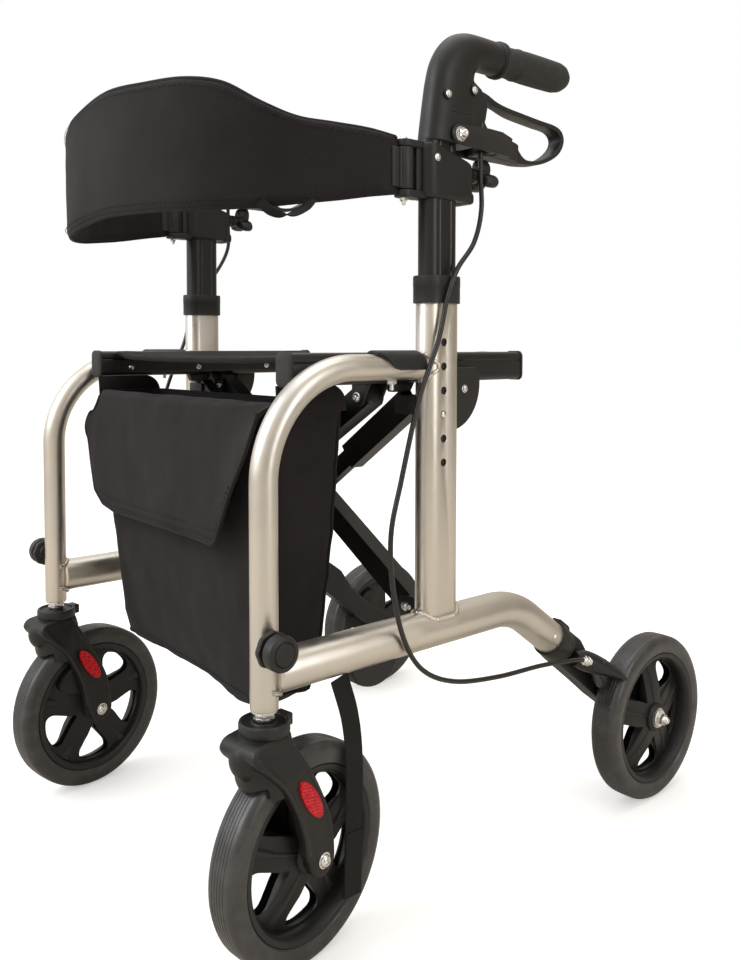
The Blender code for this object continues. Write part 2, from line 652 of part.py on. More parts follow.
def cross_arm(side):
    arm = box_tube(arm_point(side, -ARM_OVERHANG), arm_point(side, 2 * ARM_HALF + ARM_OVERHANG),
                   ARM_HALF_WIDTH, ARM_HALF_HEIGHT, 0.002)
    y = ARM_Y[side]
    pin_at = arm_point(side, STAY_REACH)
    pin_y = (-0.0195, y - 0.006) if side > 0 else (y + 0.006, -0.0055)
    arm = combine(arm, [rod("Y", (pin_at.x, pin_at.z), PIN_R, *pin_y, 8)], "UNION")
    bores = []
    for distance, radius in ((0, PIN_R + GAP), (ARM_HALF, 0.0045), (2 * ARM_HALF, PIN_R + GAP)):
        point = arm_point(side, distance)
        bores.append(rod("Y", (point.x, point.z), radius, y - 0.02, y + 0.02, 8))
    return combine(arm, bores, "DIFFERENCE")


def cross_pivot_bolt():
    """Bolt through both arms, with the spacer that keeps them apart."""
    front = ARM_Y[-1] - ARM_HALF_WIDTH - GAP
    rear = ARM_Y[1] + ARM_HALF_WIDTH + GAP
    spacer = (ARM_Y[-1] + ARM_HALF_WIDTH + GAP, ARM_Y[1] - ARM_HALF_WIDTH - GAP)
    profile = [(front - 0.004, 0.0080), (front, 0.0080), (front, 0.0040), (spacer[0], 0.0040),
               (spacer[0], 0.0090), (spacer[1], 0.0090), (spacer[1], 0.0040), (rear, 0.0040),
               (rear, 0.0075), (rear + 0.005, 0.0075)]
    return lathe(profile, "Y", (0, arm_point(1, ARM_HALF).z), 8)


def stay_ends():
    top = Vector((STAY_TOP[0], STAY_Y, STAY_TOP[1]))
    low = arm_point(1, STAY_REACH)
    low.y = STAY_Y
    return top, low


def stay_sleeve():
    top, low = stay_ends()
    ahead = (low - top).normalized()
    sleeve = box_tube(top - ahead * 0.005, top + ahead * STAY_SLEEVE_LENGTH, 0.008, 0.014, 0.002)
    return combine(sleeve, [rod("Y", STAY_TOP, 0.0035, -0.03, 0.01, 8)], "DIFFERENCE")


def stay_rod():
    """Bar that telescopes in the sleeve; its wide eye lets it float on the arm's pin."""
    top, low = stay_ends()
    back = (top - low).normalized()
    up = AXES["Y"].cross(back)
    half_width = 0.0057
    rings = [[point + AXES["Y"] * a * half_width + up * b * 0.0095
              for a, b in ((1, 1), (-1, 1), (-1, -1), (1, -1))]
             for point in (low, low + back * STAY_ROD_LENGTH)]
    eye = rod("Y", (low.x, low.z), 0.0120, STAY_Y - half_width, STAY_Y + half_width, 12)
    hole = rod("Y", (low.x, low.z), 0.0078, STAY_Y - 0.02, STAY_Y + 0.02, 12)
    return combine(combine(loft(rings), [eye], "UNION"), [hole], "DIFFERENCE")


def seat_rail(arm_side):
    """Seat rail of the left side, hinged on the top of the arm from the other side."""
    middle = (RAIL_LOW + RAIL_HIGH) / 2
    half_height = (RAIL_HIGH - RAIL_LOW) / 2
    outer = [(RAIL_X + u, middle + v) for u, v in rounded_box(RAIL_HALF_WIDTH, half_height, 0.006)]
    inner = [(RAIL_X + u, middle + v)
             for u, v in rounded_box(RAIL_HALF_WIDTH - 0.0018, half_height - 0.0018, 0.0042)]
    rail = tube_prism(outer, inner, "Y", RAIL_FRONT_Y, RAIL_REAR_Y)
    ears, pin_low, pin_high = pivot_lugs((0.1710, 0.2000), (0.4985, RAIL_LOW + 0.0012),
                                         ARM_Y[arm_side])
    pin = rod("Y", (PIVOT_X, PIVOT_TOP_Z), PIN_R, pin_low, pin_high, 8)
    return combine(rail, [*ears, pin], "UNION")


def seat_sling():
    half = RAIL_X - RAIL_HALF_WIDTH - GAP
    return box((-half, half), (-0.150, 0.135), SLING_Z)


def bag():
    """Open-topped bag that tapers downwards, hung in front of the cross-brace."""
    wall = 0.004
    levels = [(0.215, 0.118, -0.164, -0.090), (0.240, 0.128, -0.169, -0.084),
              (0.380, 0.165, -0.176, -0.080), (0.505, 0.186, -0.172, -0.080)]

    def ring(z, half, front, back, inset):
        return [Vector((half - inset, front + inset, z)), Vector((half - inset, back - inset, z)),
                Vector((inset - half, back - inset, z)), Vector((inset - half, front + inset, z))]

    outside = [ring(z, half, front, back, 0) for z, half, front, back in levels]
    inside = [ring(z, half, front, back, wall) for z, half, front, back in levels[::-1]]
    for point in inside[-1]:
        point.z += wall
    return loft(outside + inside)


def fold_strap():
    path = [Vector((0.2300, -0.130, 0.2530)), Vector((0.2340, -0.118, 0.2000)),
            Vector((0.2345, -0.119, 0.1600)), Vector((0.2345, -0.121, 0.0450))]
    return sweep(path, [(0.001, 0.010), (-0.001, 0.010), (-0.001, -0.010), (0.001, -0.010)],
                 AXES["X"])


# ---------------------------------------------------------------- assembly

def build_side(side, suffix):
    """All the pieces that both sides have."""
    stem = (SIDE_X, HOOP_Y)
    front_wheel_y = HOOP_Y + CASTOR_TRAIL
    handle = (SIDE_X, 0, BUTTON_Z)
    front_hub = (SIDE_X, front_wheel_y, WHEEL_R)
    rear_hub = (REAR_WHEEL_X, REAR_WHEEL_Y, WHEEL_R)
    stay_low = stay_ends()[1]

    def add(name, shape, finish, origin, turn_about=None):
        add_part(name + suffix, shape, finish, origin, side, turn_about)

    add("side_frame", side_frame(side), "satin_aluminium", (SIDE_X, 0, LOWER_Z))
    add("post_collar", post_collar(), "black_plastic", (SIDE_X, 0, POST_TOP))
    add("frame_bumper", frame_bumper(), "black_plastic", (SIDE_X, HOOP_Y, 0.301))
    add("rail_saddle", rail_saddle(), "black_plastic", (SIDE_X, -0.057, HOOP_Z))
    add("rail_guide", rail_guide(), "black_plastic", (SIDE_X, 0.050, 0.505))

    add("castor_stem", castor_stem(), "bright_steel", (*stem, HOOP_FOOT_Z))
    add("castor_fork", castor_fork(), "black_plastic", (*stem, 0.215), stem)
    add("front_axle", front_axle(), "bright_steel", front_hub, stem)
    add("front_rim", wheel_rim(SIDE_X, front_wheel_y), "black_plastic", front_hub, stem)
    add("front_tyre", wheel_tyre(SIDE_X, front_wheel_y), "grey_tyre", front_hub, stem)

    add("rear_arm", rear_arm(), "black_plastic", (SIDE_X, *LOWER_END))
    add("rear_axle", rear_axle(), "bright_steel", rear_hub)
    add("rear_rim", wheel_rim(REAR_WHEEL_X, REAR_WHEEL_Y), "black_plastic", rear_hub)
    add("rear_tyre", wheel_tyre(REAR_WHEEL_X, REAR_WHEEL_Y), "grey_tyre", rear_hub)
    add("brake_shoe", brake_shoe(), "black_plastic", (REAR_WHEEL_X, *SHOE_PIVOT))

    add("handle_post", handle_post(), "dark_aluminium", handle)
    add("height_button", height_button(), "bright_steel", (SIDE_X, HOLE_Y, BUTTON_Z))
    add("brake_housing", brake_housing(), "black_plastic", handle)
    add("grip", grip(), "soft_grip", (SIDE_X, GRIP_START_Y, GRIP_Z))
    add("brake_lever", brake_lever(), "black_plastic", (SIDE_X, *LEVER_PIVOT))
    add("backrest_clamp", backrest_clamp(), "black_plastic", (SIDE_X, 0, CLAMP_LOW))
    add("clamp_knob", clamp_knob(), "black_plastic", (SIDE_X, CLAMP_REAR_Y, KNOB_Z))
    add("backrest", backrest_half(), "charcoal_fabric", (*BACKREST_HINGE, KNOB_Z))
    add("brake_cable", brake_cable(), "black_plastic", handle)

    foot = arm_point(1, 0)
    foot.y = ARM_Y[side]
    add_part("cross_arm" + suffix, cross_arm(side), "dark_aluminium",
             (side * foot.x, foot.y, foot.z))
    add("stay_sleeve", stay_sleeve(), "dark_aluminium", (STAY_TOP[0], STAY_Y, STAY_TOP[1]))
    add("stay_rod", stay_rod(), "dark_aluminium", stay_low)
    add("seat_rail", seat_rail(-side), "dark_aluminium", (PIVOT_X, ARM_Y[-side], PIVOT_TOP_Z))


for stale in list(bpy.data.objects):
    bpy.data.objects.remove(stale)

MATERIALS = {name: make_material(name) for name in FINISHES}
WALKER = bpy.data.objects.new("walker_origin", None)
WALKER.location.y = ORIGIN_Y
bpy.context.scene.collection.objects.link(WALKER)

build_side(1, "_left")
build_side(-1, "_right")
add_part("cross_pivot_bolt", cross_pivot_bolt(), "bright_steel",
         (0, ARM_Y[-1], arm_point(1, ARM_HALF).z))
add_part("seat_sling", seat_sling(), "charcoal_fabric", (0, 0, SLING_Z[0]))
add_part("bag", bag(), "charcoal_fabric", (0, -0.126, 0.215))
add_part("fold_strap", fold_strap(), "charcoal_fabric", (0.230, -0.130, 0.253))
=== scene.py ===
"""Looks of the side-folding rollator walker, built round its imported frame.

Lengths are metres, +Z is up and the user faces -Y. Shapes are drawn for the user's left side
(+X) and reflected for the right side. Lengths along Y are counted from the main posts, and
every shape is moved to the posts' place in the frame when it is added.
"""

from math import atan2, cos, pi, radians, sin, sqrt, tan

import bmesh
import bpy
from mathutils import Matrix, Quaternion, Vector, noise


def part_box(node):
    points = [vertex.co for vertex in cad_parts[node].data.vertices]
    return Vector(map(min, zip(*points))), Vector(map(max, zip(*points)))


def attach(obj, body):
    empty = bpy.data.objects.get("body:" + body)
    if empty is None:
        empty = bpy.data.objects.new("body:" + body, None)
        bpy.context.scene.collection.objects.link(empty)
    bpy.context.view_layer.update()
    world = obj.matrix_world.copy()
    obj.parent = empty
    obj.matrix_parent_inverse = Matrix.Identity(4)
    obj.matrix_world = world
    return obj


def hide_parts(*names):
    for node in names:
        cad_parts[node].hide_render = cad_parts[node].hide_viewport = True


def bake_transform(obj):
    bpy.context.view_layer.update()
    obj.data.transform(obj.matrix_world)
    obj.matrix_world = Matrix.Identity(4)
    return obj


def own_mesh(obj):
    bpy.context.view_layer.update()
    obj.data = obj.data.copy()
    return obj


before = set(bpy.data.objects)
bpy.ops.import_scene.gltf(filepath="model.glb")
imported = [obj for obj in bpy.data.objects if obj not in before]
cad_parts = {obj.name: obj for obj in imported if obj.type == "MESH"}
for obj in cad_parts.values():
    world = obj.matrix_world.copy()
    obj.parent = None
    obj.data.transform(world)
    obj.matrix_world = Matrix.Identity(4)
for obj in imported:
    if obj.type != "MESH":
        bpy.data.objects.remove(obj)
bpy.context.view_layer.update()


# ---------------------------------------------------------------- sizes taken from the frame

def middle(node):
    low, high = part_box(node)
    return (low + high) / 2


def size(node):
    low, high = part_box(node)
    return high - low


POST_Y = middle("handle_post_left").y
SIDE_X = middle("handle_post_left").x
HANDLE_R = size("handle_post_left").x / 2
POST_FLAT = size("handle_post_left").y / 2 - HANDLE_R
POST_R = HANDLE_R + 0.0020
POST_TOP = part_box("post_collar_left")[0].z + 0.0075
COLLAR_LOW, COLLAR_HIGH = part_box("post_collar_left")[0].z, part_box("post_collar_left")[1].z

STEM_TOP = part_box("castor_stem_left")[1].z
HOOP_Y = middle("castor_stem_left").y - POST_Y
HOOP_FOOT_Z = STEM_TOP - 0.042
HOOP_R = 0.0127
HOOP_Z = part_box("rail_saddle_left")[1].z - 0.0157
HOOP_BEND = 0.100
LOWER_R = 0.019
LOWER_Z = 0.2735
LOWER_BEND_Y = 0.1185
LOWER_END = (0.1947, 0.2185)

WHEEL_R = size("rear_tyre_left").z / 2
TYRE_HALF = size("rear_tyre_left").x / 2
RIM_R = size("rear_rim_left").z / 2
SPOKES = 5
REAR_HUB = (middle("rear_rim_left").x, middle("rear_rim_left").y - POST_Y, WHEEL_R)
CASTOR_TRAIL = 0.045
CASTOR_TURN = radians(8)
FRONT_HUB = (SIDE_X, HOOP_Y + CASTOR_TRAIL, WHEEL_R)
FRONT_AXLE, REAR_AXLE = FRONT_HUB[1:], REAR_HUB[1:]
STEM = (SIDE_X, HOOP_Y)
FORK_HALF = 0.0292
AXLE_R = 0.0048
BUTTON_Z = middle("height_button_left").z
BUTTON_Y = middle("height_button_left").y - POST_Y
HOLE_PITCH = 0.024

HOUSING_SCREWS = ((-0.001, 0.807), (0.037, 0.817))
CLAMP_LOW, CLAMP_HIGH = (corner.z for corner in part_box("backrest_clamp_left"))
KNOB_Z = middle("clamp_knob_left").z
HINGE = (0.2225, -0.045)
GRIP_Z = middle("grip_left").z
GRIP_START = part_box("grip_left")[0].y - POST_Y
GRIP_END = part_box("grip_left")[1].y - POST_Y
LEVER_PIVOT = (0.012, 0.769)
BAND_THICKNESS = 0.012

RAIL_LOW, RAIL_HIGH = 0.522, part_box("seat_rail_left")[1].z
RAIL_MIDDLE = (RAIL_LOW + RAIL_HIGH) / 2
RAIL_X = 0.195
RAIL_HALF = 0.011
RAIL_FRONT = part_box("seat_rail_left")[0].y - POST_Y
RAIL_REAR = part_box("seat_rail_left")[1].y - POST_Y
SLING_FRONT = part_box("seat_sling")[0].y - POST_Y
SLING_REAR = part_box("seat_sling")[1].y - POST_Y
SLING_HALF = size("seat_sling").x / 2
ARM_Y = {1: 0.013, -1: -0.055}
EAR_INNER, EAR_OUTER = 0.0105, 0.0135
PIN_R = 0.0035
PIVOT_X = 0.180
PIVOT_LOW_Z = middle("cross_arm_left").z - 0.1115
PIVOT_TOP_Z = 0.508
BAG_LOW, BAG_HIGH = (corner.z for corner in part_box("bag"))

AXES = {"X": Vector((1, 0, 0)), "Y": Vector((0, 1, 0)), "Z": Vector((0, 0, 1))}
PLANES = {"X": ("Y", "Z"), "Y": ("X", "Z"), "Z": ("X", "Y")}
SIDES = ((1, "_left"), (-1, "_right"))


# ---------------------------------------------------------------- outlines and paths

def circle(radius, count=32):
    return [(radius * cos(2 * pi * i / count), radius * sin(2 * pi * i / count))
            for i in range(count)]


def oval(radius, flat=POST_FLAT, steps=16):
    """Oval with straight sides, long along its second coordinate."""
    points = []
    for centre, start in ((flat, 0.0), (-flat, pi)):
        for i in range(steps + 1):
            angle = start + pi * i / steps
            points.append((radius * cos(angle), centre + radius * sin(angle)))
    return points


def post_section(radius):
    """The oval, about the left post's own middle."""
    return [(SIDE_X + u, v) for u, v in oval(radius)]


def rounded_box(half_u, half_v, radius, steps=6):
    points = []
    for turn, (su, sv) in enumerate(((1, 1), (-1, 1), (-1, -1), (1, -1))):
        for i in range(steps + 1):
            angle = pi / 2 * (turn + i / steps)
            points.append((su * (half_u - radius) + radius * cos(angle),
                           sv * (half_v - radius) + radius * sin(angle)))
    return points


def arc(centre, radius, start, end, steps):
    """Points on a circle from one angle to another, in degrees."""
    angles = [radians(start + (end - start) * i / steps) for i in range(steps + 1)]
    return [(centre[0] + radius * cos(a), centre[1] + radius * sin(a)) for a in angles]


def fillet(corners, radius, steps=12):
    """A polyline whose inner corners are rounded to the radius."""
    path = [corners[0]]
    for before, corner, after in zip(corners, corners[1:], corners[2:]):
        back = (before - corner).normalized()
        ahead = (after - corner).normalized()
        half_angle = back.angle(ahead) / 2
        reach = radius / tan(half_angle)
        centre = corner + (back + ahead).normalized() * radius / sin(half_angle)
        start = corner + back * reach - centre
        end = corner + ahead * reach - centre
        turn = start.rotation_difference(end)
        for i in range(steps + 1):
            path.append(centre + Quaternion().slerp(turn, i / steps) @ start)
    return path + [corners[-1]]


def curve_steps(a, b, c, d, steps):
    """Catmull-Rom points from b up to just before c."""
    points = []
    for i in range(steps):
        t = i / steps
        points.append(0.5 * (2 * b + (c - a) * t + (2 * a - 5 * b + 4 * c - d) * t ** 2
                             + (3 * b - a - 3 * c + d) * t ** 3))
    return points


def spline(points, steps=6):
    """Smooth curve through the points, which may be vectors of any size."""
    points = [Vector(point) for point in points]
    padded = [points[0] * 2 - points[1]] + points + [points[-1] * 2 - points[-2]]
    path = []
    for a, b, c, d in zip(padded, padded[1:], padded[2:], padded[3:]):
        path += curve_steps(a, b, c, d, steps)
    return path + [points[-1]]


def closed_spline(points, steps=5):
    """Smooth closed outline through 2-D points."""
    points = [Vector(point) for point in points]
    path = []
    for k in range(len(points)):
        path += curve_steps(*(points[(k + i - 1) % len(points)] for i in range(4)), steps)
    return [tuple(point) for point in path]


def resample(points, count):
    """Equal steps along a closed loop of 2-D points."""
    loop = [Vector(point) for point in points]
    loop.append(loop[0])
    lengths = [0.0]
    for a, b in zip(loop, loop[1:]):
        lengths.append(lengths[-1] + (b - a).length)
    result = []
    k = 0
    for i in range(count):
        target = lengths[-1] * i / count
        while lengths[k + 1] < target:
            k += 1
        share = (target - lengths[k]) / (lengths[k + 1] - lengths[k])
        result.append(loop[k].lerp(loop[k + 1], share))
    return result


def smoothstep(low, high, value):
    t = max(0.0, min(1.0, (value - low) / (high - low)))
    return t * t * (3 - 2 * t)


def between(stations, value):
    """Linear interpolation in rows of (value, ...numbers)."""
    if value <= stations[0][0]:
        return stations[0][1:]
    for low, high in zip(stations, stations[1:]):
        if value <= high[0]:
            t = (value - low[0]) / (high[0] - low[0])
            return tuple(a + (b - a) * t for a, b in zip(low[1:], high[1:]))
    return stations[-1][1:]


# ---------------------------------------------------------------- solids

def make_object(bm):
    bmesh.ops.recalc_face_normals(bm, faces=bm.faces)
    mesh = bpy.data.meshes.new("shape")
    bm.to_mesh(mesh)
    bm.free()
    obj = bpy.data.objects.new("shape", mesh)
    bpy.context.scene.collection.objects.link(obj)
    return obj


def loft(rings, wrap=False, caps=True):
    """Skin over rings of equal length, capped at both ends or wrapped into a closed loop."""
    bm = bmesh.new()
    loops = [[bm.verts.new(point) for point in ring] for ring in rings]
    pairs = list(zip(loops, loops[1:]))
    if wrap:
        pairs.append((loops[-1], loops[0]))
    for low, high in pairs:
        for i in range(len(low)):
            j = (i + 1) % len(low)
            bm.faces.new((low[i], low[j], high[j], high[i]))
    if caps and not wrap:
        bm.faces.new(loops[0])
        bm.faces.new(loops[-1])
    return make_object(bm)


def grid(rows):
    """Open sheet over rows of equally many points."""
    bm = bmesh.new()
    verts = [[bm.verts.new(point) for point in row] for row in rows]
    for low, high in zip(verts, verts[1:]):
        for i in range(len(low) - 1):
            bm.faces.new((low[i], low[i + 1], high[i + 1], high[i]))
    return make_object(bm)


def face_towards(sheet, direction):
    """Flip a sheet whose first face looks away from the direction."""
    if sheet.data.polygons[0].normal.dot(direction) < 0:
        sheet.data.flip_normals()


def place(outline, axis, station):
    """The outline as 3-D points, at a station along the named axis."""
    first, second = (AXES[name] for name in PLANES[axis])
    return [AXES[axis] * station + first * u + second * v for u, v in outline]


def prism(outline, axis, low, high):
    return loft([place(outline, axis, low), place(outline, axis, high)])


def box(x, y, z):
    return prism([(x[0], y[0]), (x[1], y[0]), (x[1], y[1]), (x[0], y[1])], "Z", z[0], z[1])


def lathe(profile, axis, centre, count=32, wrap=False):
    """Turned shape: profile of (station, radius) pairs about an axis through the centre."""
    rings = []
    for station, radius in profile:
        outline = [(centre[0] + u, centre[1] + v) for u, v in circle(radius, count)]
        rings.append(place(outline, axis, station))
    return loft(rings, wrap)


def rod(axis, centre, radius, low, high, count=32):
    return lathe([(low, radius), (high, radius)], axis, centre, count)


def sweep(path, outline, side_axis, swell=None, wrap=False):
    """The outline carried along a path; its first coordinate lies along side_axis."""
    rings = []
    last = len(path) - 1
    for i, point in enumerate(path):
        if wrap:
            ahead = path[(i + 1) % len(path)] - path[i - 1]
        else:
            ahead = path[min(i + 1, last)] - path[max(i - 1, 0)]
        ahead.normalize()
        side = (side_axis - ahead * side_axis.dot(ahead)).normalized()
        across = ahead.cross(side)
        scale = swell(i) if swell else 1.0
        rings.append([point + side * u * scale + across * v * scale for u, v in outline])
    return loft(rings, wrap)


def merge(shapes):
    """One object that holds several separate shapes."""
    bm = bmesh.new()
    for shape in shapes:
        bm.from_mesh(shape.data)
    first = shapes[0]
    bm.to_mesh(first.data)
    bm.free()
    for shape in shapes[1:]:
        bpy.data.objects.remove(shape)
    return first


def bake(obj):
    """Replace the mesh with what its modifiers make of it."""
    depsgraph = bpy.context.evaluated_depsgraph_get()
    mesh = bpy.data.meshes.new_from_object(obj.evaluated_get(depsgraph))
    obj.modifiers.clear()
    obj.data = mesh
    return obj


def combine(base, tools, operation):
    """Join the tools to the base, or cut them out of it."""
    for tool in tools:
        modifier = base.modifiers.new("combine", "BOOLEAN")
        modifier.operation = operation
        modifier.solver = "EXACT"
        modifier.object = tool
    bake(base)
    for tool in tools:
        bpy.data.objects.remove(tool)
    return base


def soften(base, width, segments=3, angle=35):
    """Round the edges that turn by more than the angle."""
    modifier = base.modifiers.new("round", "BEVEL")
    modifier.width = width
    modifier.segments = segments
    modifier.angle_limit = radians(angle)
    return bake(base)


def sculpt(shapes, voxel=0.0013, passes=8):
    """Melt overlapping shapes into one moulded form with soft transitions."""
    base = merge(shapes)
    remesh = base.modifiers.new("remesh", "REMESH")
    remesh.mode = "VOXEL"
    remesh.voxel_size = voxel
    smooth = base.modifiers.new("smooth", "SMOOTH")
    smooth.factor = 0.5
    smooth.iterations = passes
    return bake(base)


def aim(obj, direction, location):
    """Turn a shape built up +Z so that it points along the direction from the location."""
    turn = Vector(direction).to_track_quat("Z", "Y").to_matrix().to_4x4()
    obj.data.transform(Matrix.Translation(Vector(location)) @ turn)
    return obj


def hexagon(apothem, count=24):
    points = []
    for i in range(count):
        angle = 2 * pi * i / count
        lean = (angle + pi / 6) % (pi / 3) - pi / 6
        points.append((apothem / cos(lean) * cos(angle), apothem / cos(lean) * sin(angle)))
    return points


def stack(layers, count=24):
    """Rings up +Z from (height, radius, is hexagonal) rows."""
    rings = [place(hexagon(radius, count) if six else circle(radius, count), "Z", height)
             for height, radius, six in layers]
    return loft(rings)


def socket_screw(radius, direction, location):
    """Button head with a hexagonal socket, seated on a thin washer."""
    h = radius * 0.75
    head = stack([(-0.0005, radius * 1.25, False), (0.0004, radius * 1.25, False),
                  (0.0006, radius, False), (h * 0.5, radius * 0.97, False),
                  (h * 0.85, radius * 0.78, False), (h, radius * 0.55, False),
                  (h * 0.98, radius * 0.42, True), (h * 0.45, radius * 0.40, True),
                  (h * 0.40, radius * 0.10, True)])
    return aim(head, direction, location)


def acorn_nut(radius, direction, location):
    """Domed cap nut on a washer."""
    h = radius * 0.9
    layers = [(-0.0003, radius * 1.45, False), (0.0007, radius * 1.45, False),
              (0.0008, radius * 0.92, True), (0.0012, radius, True), (h * 0.92, radius, True),
              (h, radius * 0.88, False)]
    for i in range(1, 7):
        angle = pi / 2 * i / 6.5
        layers.append((h + radius * 0.95 * sin(angle), radius * 0.85 * cos(angle), False))
    return aim(stack(layers), direction, location)


def hex_nut(apothem, height, direction, location):
    layers = [(0, apothem * 0.94, False), (height * 0.12, apothem, True),
              (height * 0.88, apothem, True), (height, apothem * 0.94, False)]
    return aim(stack(layers), direction, location)


def bead(path, radius, wrap=True):
    """Weld bead: a rippled cord along a path."""
    def ripple(i):
        return 1.0 + 0.16 * sin(i * 1.9) + 0.10 * sin(i * 3.7 + 1.0)
    return sweep(path, circle(radius, 10), Vector((0.31, 0.52, 0.80)), ripple, wrap)


# ---------------------------------------------------------------- adding pieces

def add(name, shape, slot, body, nodes=(), sharp=35):
    """Name a shape, move it to the posts' place and let it ride on a body of the frame."""
    shape.data.transform(Matrix.Translation((0, POST_Y, 0)))
    shape.name = name
    shape.data.name = name
    shape.data.shade_smooth()
    shape.data.set_sharp_from_angle(angle=radians(sharp))
    shape.data.materials.clear()
    shape.data.materials.append(MATERIALS[slot])
    if body:
        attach(shape, body)
    if nodes:
        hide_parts(*nodes)
    return shape


def reflected(shape, side, castor=False):
    """A copy of a left-side shape for the asked side; castor parts also turn to their rest."""
    mesh = shape.data.copy()
    copy = bpy.data.objects.new("shape", mesh)
    bpy.context.scene.collection.objects.link(copy)
    if side < 0:
        mesh.transform(Matrix.Diagonal((-1, 1, 1, 1)))
        mesh.flip_normals()
    if castor:
        centre = Matrix.Translation((side * SIDE_X, HOOP_Y, 0))
        mesh.transform(centre @ Matrix.Rotation(CASTOR_TURN, 4, "Z") @ centre.inverted())
    return copy


def turned_over(shape, side):
    """A left-side shape moved to the asked side."""
    copy = reflected(shape, side)
    bpy.data.objects.remove(shape)
    return copy


def add_pair(stem, shape, slot, body, node=None, castor=False, sharp=35):
    """The shape on both sides, each riding on its own side's body."""
    pieces = []
    for side, suffix in SIDES:
        nodes = [node + suffix] if node else []
        copy = reflected(shape, side, castor)
        pieces.append(add(stem + suffix, copy, slot, body + suffix, nodes, sharp))
    bpy.data.objects.remove(shape)
    return pieces


# ---------------------------------------------------------------- materials

class Shader:
    """A node material with short ways to add and join nodes."""

    def __init__(self, name, colour, roughness, metallic=0.0, **inputs):
        self.material = bpy.data.materials.new(name)
        self.material.use_nodes = True
        self.tree = self.material.node_tree
        self.surface = self.tree.nodes["Principled BSDF"]
        self.set(self.surface, {"Base Color": (*colour, 1), "Roughness": roughness,
                                "Metallic": metallic})
        self.set(self.surface, {key.replace("_", " "): value for key, value in inputs.items()})
        self.place = self.node("ShaderNodeTexCoord").outputs["Object"]

    def set(self, node, values):
        for key, value in values.items():
            node.inputs[key].default_value = value

    def node(self, kind, values=None, **links):
        node = self.tree.nodes.new(kind)
        if values:
            self.set(node, values)
        for key, output in links.items():
            self.tree.links.new(output, node.inputs[key.replace("_", " ")])
        return node

    def math(self, operation, a, b):
        node = self.tree.nodes.new("ShaderNodeMath")
        node.operation = operation
        for slot, value in zip(node.inputs, (a, b)):
            if isinstance(value, (int, float)):
                slot.default_value = value
            else:
                self.tree.links.new(value, slot)
        return node.outputs[0]

    def noise(self, scale, detail=3.0, stretch=(1, 1, 1)):
        mapping = self.node("ShaderNodeMapping", {"Scale": stretch}, Vector=self.place)
        texture = self.node("ShaderNodeTexNoise", {"Scale": scale, "Detail": detail},
                            Vector=mapping.outputs[0])
        return texture.outputs[0]

    def vary(self, socket, factor, low, high):
        """Drive an input between two values, or two colours, by a factor."""
        if isinstance(low, tuple):
            mix = self.tree.nodes.new("ShaderNodeMix")
            mix.data_type = "RGBA"
            mix.inputs[6].default_value = (*low, 1)
            mix.inputs[7].default_value = (*high, 1)
            self.tree.links.new(factor, mix.inputs[0])
            self.tree.links.new(mix.outputs[2], self.surface.inputs[socket])
            return
        ranged = self.node("ShaderNodeMapRange", {"To Min": low, "To Max": high}, Value=factor)
        self.tree.links.new(ranged.outputs[0], self.surface.inputs[socket])

    def bump(self, height, distance, strength=1.0):
        bump = self.node("ShaderNodeBump", {"Distance": distance, "Strength": strength},
                         Height=height)
        self.tree.links.new(bump.outputs[0], self.surface.inputs["Normal"])


def contrast(shader, value, low, high):
    ranged = shader.node("ShaderNodeMapRange", {"From Min": low, "From Max": high}, Value=value)
    return ranged.outputs[0]


def satin_aluminium():
    """Blasted and anodised tube, with a champagne tint and faint long marks."""
    shader = Shader("satin_aluminium", (0.66, 0.62, 0.56), 0.36, 1.0)
    cloud = contrast(shader, shader.noise(9, 4), 0.3, 0.7)
    shader.vary("Base Color", cloud, (0.68, 0.635, 0.565), (0.62, 0.60, 0.565))
    shader.vary("Roughness", contrast(shader, shader.noise(60, 5), 0.3, 0.7), 0.32, 0.42)
    shader.bump(shader.noise(2600, 2), 0.00004)
    return shader.material


def bright_steel():
    shader = Shader("bright_steel", (0.78, 0.78, 0.77), 0.2, 1.0)
    shader.vary("Roughness", contrast(shader, shader.noise(200, 3), 0.35, 0.65), 0.20, 0.30)
    return shader.material


def dark_aluminium():
    """Black anodised tube with a low sheen along its length."""
    shader = Shader("dark_aluminium", (0.010, 0.010, 0.011), 0.34, 0.0, Specular_IOR_Level=0.42)
    shader.vary("Roughness", contrast(shader, shader.noise(30, 4), 0.3, 0.7), 0.30, 0.38)
    shader.bump(shader.noise(2400, 2), 0.00003)
    return shader.material


def black_plastic():
    """Glass-filled moulding: fine spark-eroded grain and slightly paler worn edges."""
    shader = Shader("black_plastic", (0.011, 0.011, 0.011), 0.44, Specular_IOR_Level=0.36)
    edges = contrast(shader, shader.node("ShaderNodeNewGeometry").outputs["Pointiness"],
                     0.50, 0.60)
    shader.vary("Base Color", edges, (0.010, 0.010, 0.010), (0.026, 0.026, 0.027))
    shader.vary("Roughness", contrast(shader, shader.noise(30, 4), 0.3, 0.7), 0.38, 0.52)
    shader.bump(shader.noise(1900, 2), 0.00006)
    return shader.material


def soft_grip():
    shader = Shader("soft_grip", (0.022, 0.023, 0.022), 0.70, Specular_IOR_Level=0.35)
    shader.vary("Base Color", contrast(shader, shader.noise(50, 4), 0.3, 0.7),
                (0.020, 0.021, 0.020), (0.032, 0.033, 0.031))
    shader.bump(shader.noise(1500, 3), 0.0001)
    return shader.material


